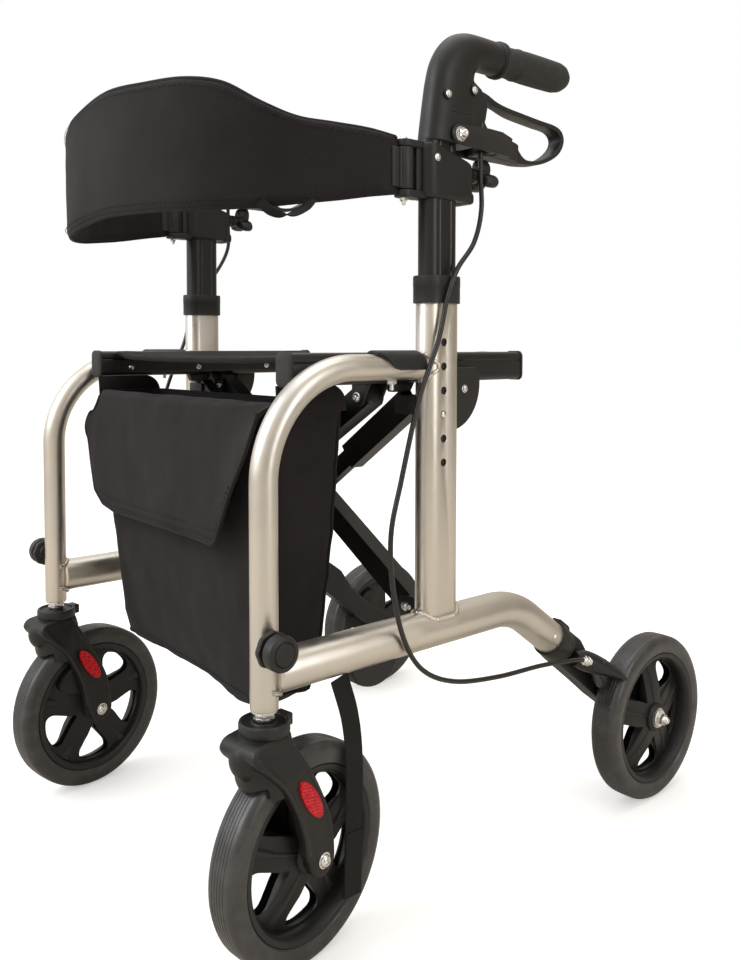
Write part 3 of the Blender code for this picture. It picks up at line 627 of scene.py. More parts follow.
def grey_tyre():
    """Cast polyurethane: dark grey, part glossy, with scuffs round the tread."""
    shader = Shader("grey_tyre", (0.042, 0.042, 0.044), 0.36)
    scuff = contrast(shader, shader.noise(70, 6), 0.45, 0.72)
    shader.vary("Base Color", scuff, (0.038, 0.038, 0.040), (0.060, 0.059, 0.060))
    shader.vary("Roughness", contrast(shader, shader.noise(38, 5), 0.3, 0.7), 0.22, 0.46)
    shader.bump(shader.noise(900, 3), 0.00008)
    return shader.material


def cable_sheath():
    shader = Shader("cable_sheath", (0.012, 0.012, 0.013), 0.26)
    shader.bump(shader.noise(300, 3), 0.00006)
    return shader.material


def cloth(name, dark, light, pitch, roughness):
    """Plain weave: warp and weft ridges that alternate, with uneven dye and loose fibres."""
    shader = Shader(name, dark, roughness, Sheen_Weight=0.06, Sheen_Roughness=0.5,
                    Specular_IOR_Level=0.18)
    split = shader.node("ShaderNodeSeparateXYZ", Vector=shader.place)
    x, y, z = split.outputs
    across = shader.math("ADD", x, shader.math("MULTIPLY", y, 0.8))
    up = shader.math("ADD", z, shader.math("MULTIPLY", y, 0.6))
    warp = shader.math("SINE", shader.math("MULTIPLY", across, 2 * pi / pitch), 0)
    weft = shader.math("SINE", shader.math("MULTIPLY", up, 2 * pi / pitch), 0)
    weave = shader.math("MULTIPLY", warp, weft)
    fibre = shader.noise(1200, 3)
    height = shader.math("ADD", weave, shader.math("MULTIPLY", fibre, 1.4))
    dye = contrast(shader, shader.math("ADD", shader.noise(11, 4),
                                       shader.math("MULTIPLY", height, 0.05)), 0.32, 0.72)
    shader.vary("Base Color", dye, dark, light)
    shader.bump(height, 0.00022, 0.8)
    return shader.material


def reflector_red():
    # The faint red emission is a painted glow; the reflector gives no light of its own.
    shader = Shader("reflector_red", (0.50, 0.006, 0.014), 0.25, Specular_IOR_Level=0.30,
                    Emission_Strength=0.05,
                    Emission_Color=(0.8, 0.01, 0.02, 1))
    shader.vary("Base Color", contrast(shader, shader.noise(260, 2), 0.4, 0.6),
                (0.36, 0.003, 0.010), (0.60, 0.010, 0.020))
    return shader.material


MATERIALS = {
    "satin_aluminium": satin_aluminium(),
    "bright_steel": bright_steel(),
    "dark_aluminium": dark_aluminium(),
    "black_plastic": black_plastic(),
    "soft_grip": soft_grip(),
    "grey_tyre": grey_tyre(),
    "cable_sheath": cable_sheath(),
    "charcoal_fabric": cloth("charcoal_fabric", (0.0105, 0.0090, 0.0100), (0.0170, 0.0142, 0.0158),
                             0.0016, 0.88),
    "webbing": cloth("webbing", (0.008, 0.008, 0.008), (0.014, 0.014, 0.014), 0.0022, 0.80),
    "reflector_red": reflector_red(),
}


# ---------------------------------------------------------------- side frame

def hoop_path():
    return fillet([Vector((SIDE_X, HOOP_Y, HOOP_FOOT_Z)), Vector((SIDE_X, HOOP_Y, HOOP_Z)),
                   Vector((SIDE_X, -0.0232, HOOP_Z))], HOOP_BEND, 28)


def lower_path():
    return fillet([Vector((SIDE_X, HOOP_Y + 0.0065, LOWER_Z)),
                   Vector((SIDE_X, LOWER_BEND_Y, LOWER_Z)), Vector((SIDE_X, *LOWER_END))],
                  0.100, 18)


def side_tubes():
    """Hoop, lower tube and main post, with the row of height holes in the post."""
    hoop = soften(sweep(hoop_path(), circle(HOOP_R, 48), AXES["X"]), 0.0008)
    lower = soften(sweep(lower_path(), circle(LOWER_R, 56), AXES["X"]), 0.0025)
    bore = HANDLE_R + 0.0003
    levels = ((POST_R, LOWER_Z + 0.009), (POST_R, POST_TOP), (bore, POST_TOP),
              (bore, LOWER_Z + 0.022))
    post = loft([place(post_section(radius), "Z", z) for radius, z in levels])
    holes = [rod("X", (BUTTON_Y, BUTTON_Z + (3 - i) * HOLE_PITCH), 0.004,
                 SIDE_X + 0.005, SIDE_X + 0.020, 28) for i in range(6)]
    post = soften(combine(post, holes, "DIFFERENCE"), 0.0004, 2, 50)
    return merge([hoop, lower, post])


def welds():
    """Beads at the post's foot, where the hoop meets the post, and where the lower tube meets
    the hoop's front leg."""
    foot = []
    for u, v in resample(oval(POST_R + 0.0012), 120):
        foot.append(Vector((SIDE_X + u, v, LOWER_Z + sqrt(LOWER_R ** 2 - u ** 2) + 0.0004)))
    hoop = []
    for u, w in circle(HOOP_R + 0.0012, 76):
        depth = sqrt(max(POST_R ** 2 - min(abs(u), POST_R) ** 2, 0))
        hoop.append(Vector((SIDE_X + u, -POST_FLAT - depth - 0.0006, HOOP_Z + w)))
    beads = [bead(foot, 0.0024), bead(hoop, 0.0021)]
    for up in (1, -1):
        path = []
        for i in range(41):
            angle = radians(-88 + 176 * i / 40)
            u = (HOOP_R + 0.001) * sin(angle)
            path.append(Vector((SIDE_X + u, HOOP_Y + (HOOP_R + 0.001) * cos(angle),
                                LOWER_Z + up * (sqrt(LOWER_R ** 2 - u ** 2) + 0.0004))))
        beads.append(bead(path, 0.0022, wrap=False))
    return merge(beads)


def post_collar():
    """Push-on sleeve at the mouth of the post, with a rounded rim."""
    outside = [(0.0159, 0.0), (0.0162, 0.0006), (0.0162, 0.6), (0.0164, 0.62), (0.0164, 0.95),
               (0.0158, 1.0), (0.0122, 1.0), (0.0120, 0.96)]
    height = COLLAR_HIGH - COLLAR_LOW
    levels = [(radius, COLLAR_LOW + share * height) for radius, share in outside]
    step = POST_TOP + 0.001
    levels += [(HANDLE_R + 0.0005, step), (POST_R + 0.0004, step), (POST_R + 0.0004, COLLAR_LOW)]
    return loft([place(post_section(radius), "Z", z) for radius, z in levels], wrap=True)


def frame_bumper():
    """Scalloped flange against the tube and a domed outer disc."""
    scallops, scallop_depth = 8, 0.0009
    centre = (HOOP_Y - 0.0045, 0.301)
    flange = []
    for station, radius in ((0.2372, 0.0090), (0.2392, 0.0100), (0.2398, 0.0158),
                            (0.2412, 0.0166), (0.2436, 0.0166), (0.2450, 0.0156)):
        outline = []
        for i in range(96):
            angle = 2 * pi * i / 96
            depth = scallop_depth if radius > 0.012 else 0.0
            reach = radius - depth * (0.5 - 0.5 * cos(scallops * angle))
            outline.append((centre[0] + reach * cos(angle), centre[1] + reach * sin(angle)))
        flange.append(place(outline, "X", station))
    waist = lathe([(0.2440, 0.0120), (0.2500, 0.0120)], "X", centre, 48)
    dome = [(0.2488, 0.0100), (0.2494, 0.0150), (0.2504, 0.0158), (0.2580, 0.0158),
            (0.2598, 0.0152), (0.2608, 0.0140), (0.2611, 0.0110), (0.2605, 0.0104),
            (0.2613, 0.0098), (0.2621, 0.0050), (0.2623, 0.0006)]
    disc = lathe(dome, "X", centre, 64)
    return merge([loft(flange), waist, disc])


def rail_saddle():
    """Cap moulded over the hoop where the rail rests, cut back at a slant in front."""
    rings = []
    for i in range(25):
        y = -0.087 + 0.060 * i / 24
        reach = 28 + 72 * smoothstep(-0.087, -0.064, y)
        rear = smoothstep(-0.027, -0.0315, y)
        outer = 0.0131 + 0.0032 * (0.55 + 0.45 * rear)
        start, end = 90 - reach, 90 + reach
        outline = arc((SIDE_X, HOOP_Z), outer, start, end, 22)
        outline += arc((SIDE_X, HOOP_Z), 0.0130, end, start, 22)
        rings.append(place(outline, "Y", y))
    return soften(loft(rings), 0.0007, 2, 50)


def rail_guide():
    """Half-moon plate behind the post, with a bevelled edge."""
    curve = [(0.031 + 0.046 * cos(radians(a)), 0.520 + 0.049 * sin(radians(a)))
             for a in range(-90, 1, 5)]
    plate = prism([(0.0252, 0.537), (0.0252, 0.471), *curve, (0.0770, 0.530),
                   (0.0700, 0.537)], "X", 0.2078, 0.2145)
    return soften(plate, 0.0014, 3, 25)


def hinge_blocks(side):
    """Ears on the lower tube and the post that hold the cross arm and its stay, with the cover
    under the tube. They are drawn on the left for the arm of the asked side."""
    y = ARM_Y[side]
    outline = [(0.2080, 0.2740), (0.2080, 0.2900), (0.1960, 0.2968), (0.1800, 0.2968)]
    outline += arc((PIVOT_X, 0.2853), 0.0112, 95, 270, 12)
    ears = [prism(outline, "Y", y + low, y + high)
            for low, high in ((-EAR_OUTER, -EAR_INNER), (EAR_INNER, EAR_OUTER))]
    pin = rod("Y", (PIVOT_X, PIVOT_LOW_Z), PIN_R, y - EAR_OUTER + 0.0005, y + EAR_OUTER - 0.0005)
    stay = [prism([(0.1880, 0.4905), (0.1880, 0.5095), (end, 0.5095), (end, 0.4905)],
                  "Y", low, high)
            for end, low, high in ((0.2185, -0.0235, -0.0210), (0.2120, -0.0040, -0.0015))]
    stay_pin = rod("Y", (0.196, 0.500), 0.003, -0.0230, -0.0020)
    cover = closed_spline([(-0.118, 0.262), (-0.112, 0.243), (-0.090, 0.2355),
                           (-0.068, 0.243), (-0.062, 0.262), (-0.090, 0.266)])
    cover = soften(prism(cover, "X", 0.2115, 0.2330), 0.0030, 4, 30)
    return merge([soften(merge(ears), 0.0006, 2), pin, soften(merge(stay), 0.0004, 2),
                  stay_pin, cover])


def stem_hardware():
    """Washers, nut, collar and bolt of the castor stem, under the front tube."""
    washers = [(0.2345, 0.0040), (0.2345, 0.0092), (0.2352, 0.0096), (0.2364, 0.0096),
               (0.2368, 0.0090), (0.2372, 0.0062), (0.2378, 0.0062)]
    nut = stack([(0.2374, 0.0076, False), (0.2378, 0.0082, True), (0.2412, 0.0082, True),
                 (0.2416, 0.0076, False)])
    nut.data.transform(Matrix.Translation((*STEM, 0)))
    collar = [(0.2412, 0.0068), (0.2412, 0.0112), (0.2418, 0.0118), (0.2430, 0.0118),
              (0.2434, 0.0112), (0.2434, 0.0060)]
    bolt = [(0.1980, 0.0058), (0.2360, 0.0058), (0.2440, 0.0058)]
    return [lathe(washers, "Z", STEM, 32), nut, lathe(collar, "Z", STEM, 40),
            lathe(bolt, "Z", STEM, 20)]


def frame_fasteners():
    """Screws of the guide, the rear arm and the hinge block, and the nut below the hoop."""
    nut_x, nut_y = SIDE_X - 0.002, -0.060
    ear_face = ARM_Y[1] - EAR_OUTER
    parts = [
        socket_screw(0.0034, (1, 0, 0), (0.2145, 0.0525, 0.5145)),
        socket_screw(0.0030, (1, 0, -0.12), (SIDE_X + 0.0191, 0.174, 0.2310)),
        socket_screw(0.0026, (0, -1, 0), (0.200, ear_face, 0.2905)),
        socket_screw(0.0026, (0, -1, 0), (0.186, ear_face, 0.2855)),
        hex_nut(0.0045, 0.0040, (0, 0, -1), (nut_x, nut_y, HOOP_Z - HOOP_R)),
        rod("Z", (nut_x, nut_y), 0.0024, HOOP_Z - 0.0225, HOOP_Z - HOOP_R, 16),
    ]
    return merge(parts + stem_hardware())


# ---------------------------------------------------------------- wheels

def turned_on(hub, profile, count, wrap=False):
    """Shape turned about a wheel's axle, with stations counted from the wheel's middle."""
    return lathe([(hub[0] + station, radius) for station, radius in profile],
                 "X", hub[1:], count, wrap)


def tyre(hub):
    """Solid tyre: crowned tread with fine grooves, round shoulders and a lip on the rim."""
    half = TYRE_HALF
    profile = [(-half + 0.0022, RIM_R + 0.0004), (-half + 0.0008, RIM_R + 0.0016),
               (-half, 0.0860), (-half + 0.0002, 0.0915), (-half + 0.0014, 0.0952),
               (-half + 0.0036, 0.0982), (-half + 0.0062, 0.0996)]
    grooves = []
    for centre in (-0.0070, -0.0035, 0.0, 0.0035, 0.0070):
        for offset, depth in ((-0.0007, 0.0), (-0.0003, 0.0005), (0.0003, 0.0005), (0.0007, 0.0)):
            crown = WHEEL_R - 0.0004 * ((centre + offset) / 0.0100) ** 2
            grooves.append((centre + offset, crown - depth))
    mirror = [(-station, radius) for station, radius in profile[::-1]]
    profile = profile + grooves + mirror
    return turned_on(hub, profile, 128, wrap=True)


def rim_web(hub):
    """Dished disc with five kite-shaped openings."""
    dish = [(-0.0090, 0.0712), (-0.0070, 0.0600), (-0.0030, 0.0400), (-0.0005, 0.0200),
            (-0.0005, 0.0010), (0.0105, 0.0010), (0.0105, 0.0200), (0.0072, 0.0400),
            (0.0020, 0.0600), (-0.0005, 0.0712)]
    kite = [(0.0250, 0.0), (0.0360, -0.19), (0.0480, -0.31), (0.0590, -0.355),
            (0.0665, -0.27), (0.0685, 0.0), (0.0665, 0.27), (0.0590, 0.355),
            (0.0480, 0.31), (0.0360, 0.19)]
    x, y, z = hub
    cuts = []
    for spoke in range(SPOKES):
        centre = pi / 2 + 2 * pi * (spoke + 0.5) / SPOKES
        outline = [(y + r * cos(centre + a), z + r * sin(centre + a)) for r, a in kite]
        cuts.append(prism(closed_spline(outline, 4), "X", x - 0.020, x + 0.020))
    return soften(combine(turned_on(hub, dish, 96), cuts, "DIFFERENCE"), 0.0011, 2, 40)


def blade_ridge(hub, angle, face, lifts):
    """Ridge along a blade, on the outer (1) or inner (-1) face of the web."""
    out = Vector((0, cos(angle), sin(angle)))
    across = Vector((0, -sin(angle), cos(angle)))
    rings = []
    for r, width, lift in zip((0.0160, 0.0420, 0.0705), (0.0030, 0.0042, 0.0110), lifts):
        base = Vector(hub) + out * r + AXES["X"] * lift
        rings.append([base + across * width - AXES["X"] * face * 0.003,
                      base + across * width * 0.30 + AXES["X"] * face * 0.0022,
                      base - across * width * 0.30 + AXES["X"] * face * 0.0022,
                      base - across * width - AXES["X"] * face * 0.003])
    return soften(loft(rings), 0.0012, 2, 20)


def rim(hub):
    """Deep rim with a dished web of five broad blades round the hub."""
    band = [(-0.0145, RIM_R), (-0.0152, 0.0785), (-0.0152, 0.0745), (-0.0138, 0.0722),
            (-0.0100, 0.0706), (-0.0020, 0.0700), (0.0060, 0.0704), (0.0110, 0.0714),
            (0.0140, 0.0735), (0.0150, 0.0750), (0.0150, 0.0785), (0.0145, RIM_R)]
    barrel = [(-0.0165, 0.0070), (-0.0165, 0.0140), (-0.0158, 0.0150), (-0.0040, 0.0165),
              (0.0130, 0.0172), (0.0158, 0.0150), (0.0165, 0.0140), (0.0165, 0.0070)]
    shapes = [turned_on(hub, band, 96, wrap=True), rim_web(hub)]
    for spoke in range(SPOKES):
        angle = pi / 2 + 2 * pi * spoke / SPOKES
        shapes.append(blade_ridge(hub, angle, 1, (0.0100, 0.0065, -0.0005)))
        shapes.append(blade_ridge(hub, angle, -1, (0.0008, -0.0045, -0.0095)))
    return merge(shapes + [turned_on(hub, barrel, 48, wrap=True)])


def wheel_bearings(hub):
    """Shielded ball bearing on each face of the hub."""
    profile = [(0.0150, 0.0052), (0.0166, 0.0055), (0.0168, 0.0072), (0.0162, 0.0080),
               (0.0162, 0.0100), (0.0168, 0.0108), (0.0166, 0.0118), (0.0150, 0.0118)]
    return merge([turned_on(hub, [(side * station, radius) for station, radius in profile],
                            40, wrap=True) for side in (1, -1)])


def fork_legs():
    """Block with the side view of both legs, rounded below about the axle."""
    front = [(0.0225, 0.1110), (0.0190, 0.1310), (0.0095, 0.1560), (-0.0040, 0.1795),
             (-0.0185, 0.1960), (-0.0300, 0.2070), (-0.0330, 0.2150), (-0.0240, 0.2225)]
    rear = [(0.0080, 0.2225), (0.0170, 0.2120), (0.0265, 0.1960), (0.0420, 0.1680),
            (0.0550, 0.1390), (0.0605, 0.1120)]
    outline = spline([Vector((HOOP_Y + y, z)) for y, z in front + rear], 6)
    outline += arc(FRONT_AXLE, 0.0160, 0, -180, 14)
    legs = prism([(y, z) for y, z in outline], "X", SIDE_X - FORK_HALF, SIDE_X + FORK_HALF)
    return soften(legs, 0.0030, 3, 50)


def fork_ribs():
    """Raised ribs down the front and the back of each leg, and a boss round the axle."""
    ribs = ((0.0024, [(-0.0270, 0.2130), (-0.0190, 0.2010), (-0.0030, 0.1830), (0.0110, 0.1590),
                      (0.0215, 0.1320), (0.0255, 0.1110)]),
            (0.0015, [(0.0125, 0.2110), (0.0235, 0.1940), (0.0395, 0.1660), (0.0520, 0.1390),
                      (0.0570, 0.1130)]))
    shapes = []
    for side in (1, -1):
        x = SIDE_X + side * (FORK_HALF - 0.0006)
        for radius, crest in ribs:
            path = spline([Vector((x, HOOP_Y + y, z)) for y, z in crest], 6)
            shapes.append(sweep(path, circle(radius, 10), AXES["X"]))
        shapes.append(rod("X", FRONT_AXLE, 0.0125, SIDE_X + side * 0.0210,
                          SIDE_X + side * FORK_HALF, 40))
    return shapes


def castor_fork():
    """Bulbous head with a forward lobe, and two swept legs that narrow to the shoulder."""
    head = lathe([(0.1700, 0.0235), (0.1850, 0.0262), (0.2000, 0.0272), (0.2100, 0.0264),
                  (0.2180, 0.0242), (0.2238, 0.0222)], "Z", STEM, 48)
    lobe = lathe([(0.0180 * sin(radians(angle)), 0.0158 * cos(radians(angle)))
                  for angle in range(-85, 86, 10)], "Z", (0, 0), 40)
    lobe.data.transform(Matrix.Translation((SIDE_X, HOOP_Y - 0.0205, 0.2055)))
    fork = combine(fork_legs(), [head, lobe], "UNION")
    wheel_room = rod("X", FRONT_AXLE, 0.104, SIDE_X - 0.0200, SIDE_X + 0.0200, 96)
    shapes = [combine(fork, [wheel_room], "DIFFERENCE")] + fork_ribs()
    for shape in shapes:
        for vert in shape.data.vertices:
            shoulder = 1 - 0.24 * smoothstep(0.180, 0.2235, vert.co.z)
            if abs(vert.co.x - SIDE_X) > 0.016:
                vert.co.x = SIDE_X + (vert.co.x - SIDE_X) * shoulder
    bore = rod("Z", STEM, 0.0062, 0.1500, 0.2600)
    return combine(sculpt(shapes, voxel=0.0012, passes=6), [bore], "DIFFERENCE")


def castor_cap():
    """Cap disc over the swivel bearing, with a raised rim and a lug at the back."""
    disc = lathe([(0.2225, 0.0080), (0.2225, 0.0212), (0.2234, 0.0224), (0.2245, 0.0228),
                  (0.2315, 0.0228), (0.2332, 0.0222), (0.2338, 0.0212), (0.2336, 0.0196),
                  (0.2322, 0.0188), (0.2322, 0.0120), (0.2330, 0.0112), (0.2330, 0.0080)],
                 "Z", STEM, 64, wrap=True)
    lug = box((SIDE_X - 0.0080, SIDE_X + 0.0080), (HOOP_Y + 0.0175, HOOP_Y + 0.0280),
              (0.2230, 0.2340))
    return merge([disc, soften(lug, 0.0016)])


def close_sheet(sheet):
    """Weld a sheet's seam and middle, and close its open edge with one face."""
    bm = bmesh.new()
    bm.from_mesh(sheet.data)
    bmesh.ops.remove_doubles(bm, verts=bm.verts, dist=1e-6)
    edge = [e for e in bm.edges if e.is_boundary]
    bmesh.ops.contextual_create(bm, geom=edge)
    bmesh.ops.recalc_face_normals(bm, faces=bm.faces)
    bm.to_mesh(sheet.data)
    bm.free()
    return sheet


def lens(way):
    """Oval lens of small pyramids, set at a slant on the outer (1) or inner (-1) leg."""
    long_half, short_half, tilt = 0.0235, 0.0080, radians(33)
    pitch, rise_slope, rim_rise, depth = 0.0042, 0.0014, 0.0009, 0.0014
    rings, turns = 30, 96
    centre = Vector((SIDE_X + way * 0.0300, HOOP_Y + 0.0285, 0.1615))
    long_way = Vector((0, -sin(tilt), cos(tilt)))
    short_way = Vector((0, cos(tilt), sin(tilt)))
    rows = []
    for k in range(rings + 1):
        share = k / rings
        row = []
        for i in range(turns + 1):
            angle = 2 * pi * (i % turns) / turns
            u = short_half * share * cos(angle)
            v = long_half * share * sin(angle)
            a, b = (u + v) / pitch, (u - v) / pitch
            rise = (abs(a % 1 - 0.5) + abs(b % 1 - 0.5)) * rise_slope if share < 0.9 else rim_rise
            if k == rings:
                rise = -depth
            row.append(centre + short_way * u + long_way * v + AXES["X"] * rise * way)
        rows.append(row)
    return close_sheet(grid(rows))


def front_axle():
    shaft = rod("X", FRONT_AXLE, AXLE_R, SIDE_X - 0.0300, SIDE_X + 0.0300, 24)
    heads = [socket_screw(0.0058, (side, 0, 0), (SIDE_X + side * 0.0298, *FRONT_AXLE))
             for side in (1, -1)]
    return merge([shaft, *heads])


def rear_axle():
    """Shaft with a flange washer and a domed nut outside the wheel."""
    x = REAR_HUB[0]
    shaft = rod("X", REAR_AXLE, AXLE_R, x - 0.0480, x + 0.0200, 24)
    flange = turned_on(REAR_HUB, [(0.0172, 0.0050), (0.0172, 0.0104), (0.0178, 0.0108),
                                  (0.0188, 0.0102), (0.0192, 0.0080), (0.0192, 0.0050)],
                       40, wrap=True)
    nut = acorn_nut(0.0062, (1, 0, 0), (x + 0.0192, *REAR_AXLE))
    head = hex_nut(0.0075, 0.0040, (-1, 0, 0), (x - 0.0470, *REAR_AXLE))
    return merge([shaft, flange, nut, head])


def rear_arm():
    """Sleeve on the lower tube and the moulded arm that carries the rear axle."""
    end = Vector((SIDE_X, *LOWER_END))
    ahead = (end - Vector((SIDE_X, LOWER_BEND_Y, LOWER_Z))).normalized()
    sleeve = sweep([end - ahead * 0.005, end + ahead * 0.016], circle(0.0212, 48), AXES["X"])
    bar = [(0.1905, 0.1975), (0.2110, 0.1815), (0.2420, 0.1580), (0.2730, 0.1335)]
    bar += arc(REAR_AXLE, 0.0165, -125, 70, 12)
    bar += [(0.3000, 0.1480), (0.2620, 0.1800), (0.2400, 0.2110), (0.2175, 0.2270)]
    arm = prism(bar, "X", 0.2095, 0.2320)
    boss = rod("X", REAR_AXLE, 0.0163, 0.2068, 0.2347, 48)
    form = sculpt([sleeve, arm, boss], voxel=0.0013, passes=6)
    collar = sweep([end - ahead * 0.0085, end - ahead * 0.0070, end + ahead * 0.0075,
                    end + ahead * 0.0080], circle(0.0218, 56), AXES["X"],
                   lambda i: (0.97, 1.0, 1.0, 0.97)[i])
    up = AXES["X"].cross(ahead)
    tab = loft([[end + ahead * a + AXES["X"] * u + up * v
                 for u, v in ((0.006, 0.0150), (-0.006, 0.0150), (-0.006, h), (0.006, h))]
                for a, h in ((-0.0075, 0.0245), (0.0120, 0.0245), (0.0160, 0.0220))])
    pin = rod("X", (0.247, 0.190), 0.0040, 0.2300, 0.2590, 24)
    web = sweep(spline([Vector((0.2325, 0.222, 0.196)), Vector((0.2325, 0.270, 0.158)),
                        Vector((0.2325, 0.322, 0.118))], 6), circle(0.0018, 10), AXES["X"])
    return merge([form, collar, soften(tab, 0.0012), pin, web])


def brake_pad():
    lower = arc(REAR_AXLE, 0.1035, 150, 138, 6)
    outline = lower + [(0.2640, 0.1760), (0.2500, 0.1850), (0.2380, 0.1900), (0.2280, 0.1900),
                       (0.2300, 0.1850), (0.2430, 0.1750)]
    return soften(prism(outline, "X", 0.2395, 0.2560), 0.0030, 4, 30)


def brake_shoe():
    """Brake pad under a glossy fin that crosses the tread and tapers to a point. The fin's
    stations are (x, y, z, half height, half width)."""
    spine = [(0.2400, 0.2150, 0.1965, 0.0080, 0.0075), (0.2425, 0.2290, 0.1920, 0.0120, 0.0105),
             (0.2475, 0.2440, 0.1855, 0.0115, 0.0120), (0.2540, 0.2585, 0.1785, 0.0088, 0.0118),
             (0.2620, 0.2690, 0.1725, 0.0052, 0.0095), (0.2685, 0.2765, 0.1662, 0.0022, 0.0045)]
    rings = []
    stations = spline(spine, 5)
    for i, station in enumerate(stations):
        before, after = stations[max(i - 1, 0)], stations[min(i + 1, len(stations) - 1)]
        ahead = Vector(after[:3]) - Vector(before[:3])
        across = ahead.cross(AXES["Z"]).normalized()
        up = across.cross(ahead).normalized()
        rings.append([Vector(station[:3]) + across * u * station[4] + up * v * station[3]
                      for u, v in circle(1.0, 28)])
    return merge([brake_pad(), loft(rings)])


# ---------------------------------------------------------------- handle and brake lever

def handle_post():
    """Oval inner tube with two shallow flutes down each flat side."""
    def fluted(radius):
        points = []
        for u, v in resample(oval(radius), 132):
            groove = sum(max(0.0, 1 - abs(v - centre) / 0.0016) for centre in (-0.0078, 0.0078))
            inset = 1 - 0.055 * min(groove, 1.0) * (abs(u) > radius * 0.9)
            points.append((SIDE_X + u * inset, v))
        return points
    foot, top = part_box("handle_post_left")[0].z, CLAMP_HIGH + 0.004
    outer, inner = fluted(HANDLE_R), fluted(HANDLE_R - 0.002)
    return loft([place(outer, "Z", foot), place(outer, "Z", top), place(inner, "Z", top),
                 place(inner, "Z", foot)], wrap=True)


def height_button():
    x = SIDE_X
    profile = [(x + 0.0060, 0.0010), (x + 0.0060, 0.0036), (x + 0.0128, 0.0036),
               (x + 0.0138, 0.0033), (x + 0.0145, 0.0024), (x + 0.0148, 0.0008)]
    return lathe(profile, "X", (BUTTON_Y, BUTTON_Z), 32)


def gooseneck():
    """Solid neck from (front y, front z, rear y, rear z, half width) stations; its section goes
    from squarish at the foot to oval at the grip."""
    spine = [(-0.0216, 0.7610, 0.0450, 0.7610, 0.0162), (-0.0185, 0.7820, 0.0468, 0.7800, 0.0164),
             (-0.0152, 0.8040, 0.0478, 0.8010, 0.0166), (-0.0118, 0.8230, 0.0468, 0.8160, 0.0169),
             (-0.0066, 0.8410, 0.0462, 0.8290, 0.0171), (0.0030, 0.8575, 0.0490, 0.8370, 0.0172),
             (0.0165, 0.8700, 0.0550, 0.8415, 0.0172), (0.0335, 0.8765, 0.0630, 0.8430, 0.0172),
             (0.0530, 0.8779, 0.0720, 0.8433, 0.0172), (0.0855, 0.8777, 0.0855, 0.8433, 0.0172)]
    stations = spline(spine, 5)
    rings = []
    for k, (front_y, front_z, rear_y, rear_z, half_x) in enumerate(stations):
        front, rear = Vector((SIDE_X, front_y, front_z)), Vector((SIDE_X, rear_y, rear_z))
        centre, half = (front + rear) / 2, (front - rear) / 2
        power = 0.70 + 0.30 * smoothstep(0, len(stations) - 8, k)
        ring = []
        for c, s in circle(1, 56):
            u = abs(c) ** power * (1 if c > 0 else -1)
            v = abs(s) ** power * (1 if s > 0 else -1)
            ring.append(centre + AXES["X"] * half_x * u + half * v)
        rings.append(ring)
    return loft(rings)


def brake_housing():
    """Gooseneck that turns from the post to the grip, slotted at the back for the lever."""
    shelf = soften(prism([(0.0330, 0.7700), (0.0480, 0.7760), (0.0570, 0.7900), (0.0600, 0.8040),
                          (0.0585, 0.8130), (0.0500, 0.8210), (0.0330, 0.8300)], "X",
                         SIDE_X - 0.0152, SIDE_X + 0.0152), 0.003)
    body = sculpt([gooseneck(), shelf], voxel=0.0013, passes=6)
    slot = box((SIDE_X - 0.0070, SIDE_X + 0.0070), (0.0410, 0.0720), (0.7500, 0.8300))
    seam = box((SIDE_X + 0.0155, SIDE_X + 0.0200), (-0.0200, 0.0500), (0.7905, 0.7912))
    combine(body, [slot, seam], "DIFFERENCE")
    grip_stop = lathe([(0.0845, 0.0110), (0.0845, 0.0168), (0.0852, 0.0180), (0.0862, 0.0180),
                       (0.0864, 0.0110)], "Y", (SIDE_X, GRIP_Z), 48, wrap=True)
    bar = rod("Y", (SIDE_X, GRIP_Z), 0.0112, 0.0750, 0.1840, 24)
    pocket = [(0.0150, 0.0050), (0.0168, 0.0054), (0.0174, 0.0048), (0.0170, 0.0040),
              (0.0150, 0.0038)]
    pockets = [lathe([(SIDE_X + out, radius) for out, radius in pocket], "X", centre, 28, True)
               for centre in HOUSING_SCREWS]
    return merge([body, grip_stop, bar, *pockets])


def handle_fasteners():
    """Screws through the housing and the pivot bolt of the lever."""
    parts = [socket_screw(0.0031, (1, 0, 0), (SIDE_X + 0.0164, y, z))
             for y, z in HOUSING_SCREWS]
    parts.append(acorn_nut(0.0052, (1, 0, 0), (SIDE_X + 0.0203, *LEVER_PIVOT)))
    parts.append(hex_nut(0.0052, 0.0032, (-1, 0, 0), (SIDE_X - 0.0203, *LEVER_PIVOT)))
    parts.append(rod("X", LEVER_PIVOT, 0.0028, SIDE_X - 0.0205, SIDE_X + 0.0205, 20))
    return merge(parts)


def grip():
    """Soft grip: flanged mouth, waist, swelling palm and a chamfered end."""
    length = GRIP_END - GRIP_START
    shape = [(0.000, 0.0176), (0.006, 0.0186), (0.040, 0.0186), (0.052, 0.0180), (0.075, 0.0160),
             (0.120, 0.0154), (0.190, 0.0158), (0.250, 0.0164), (0.262, 0.0169), (0.276, 0.0169),
             (0.284, 0.0163), (0.400, 0.0169), (0.600, 0.0170), (0.800, 0.0168), (0.860, 0.0166),
             (0.925, 0.0150), (0.985, 0.0112), (1.000, 0.0092)]
    rings = []
    for share, radius in shape:
        outline = []
        for i in range(72):
            angle = 2 * pi * i / 72
            palm = smoothstep(0.30, 0.34, share) * (1 - smoothstep(0.82, 0.88, share))
            rib = 0.00022 * palm * (0.5 + 0.5 * cos(18 * angle))
            lip = 0.0014 * (share < 0.06) * max(0.0, -sin(angle))
            reach = radius - rib + lip
            outline.append((SIDE_X + reach * cos(angle), GRIP_Z + reach * sin(angle)))
        rings.append(place(outline, "Y", GRIP_START + share * length))
    return loft(rings)


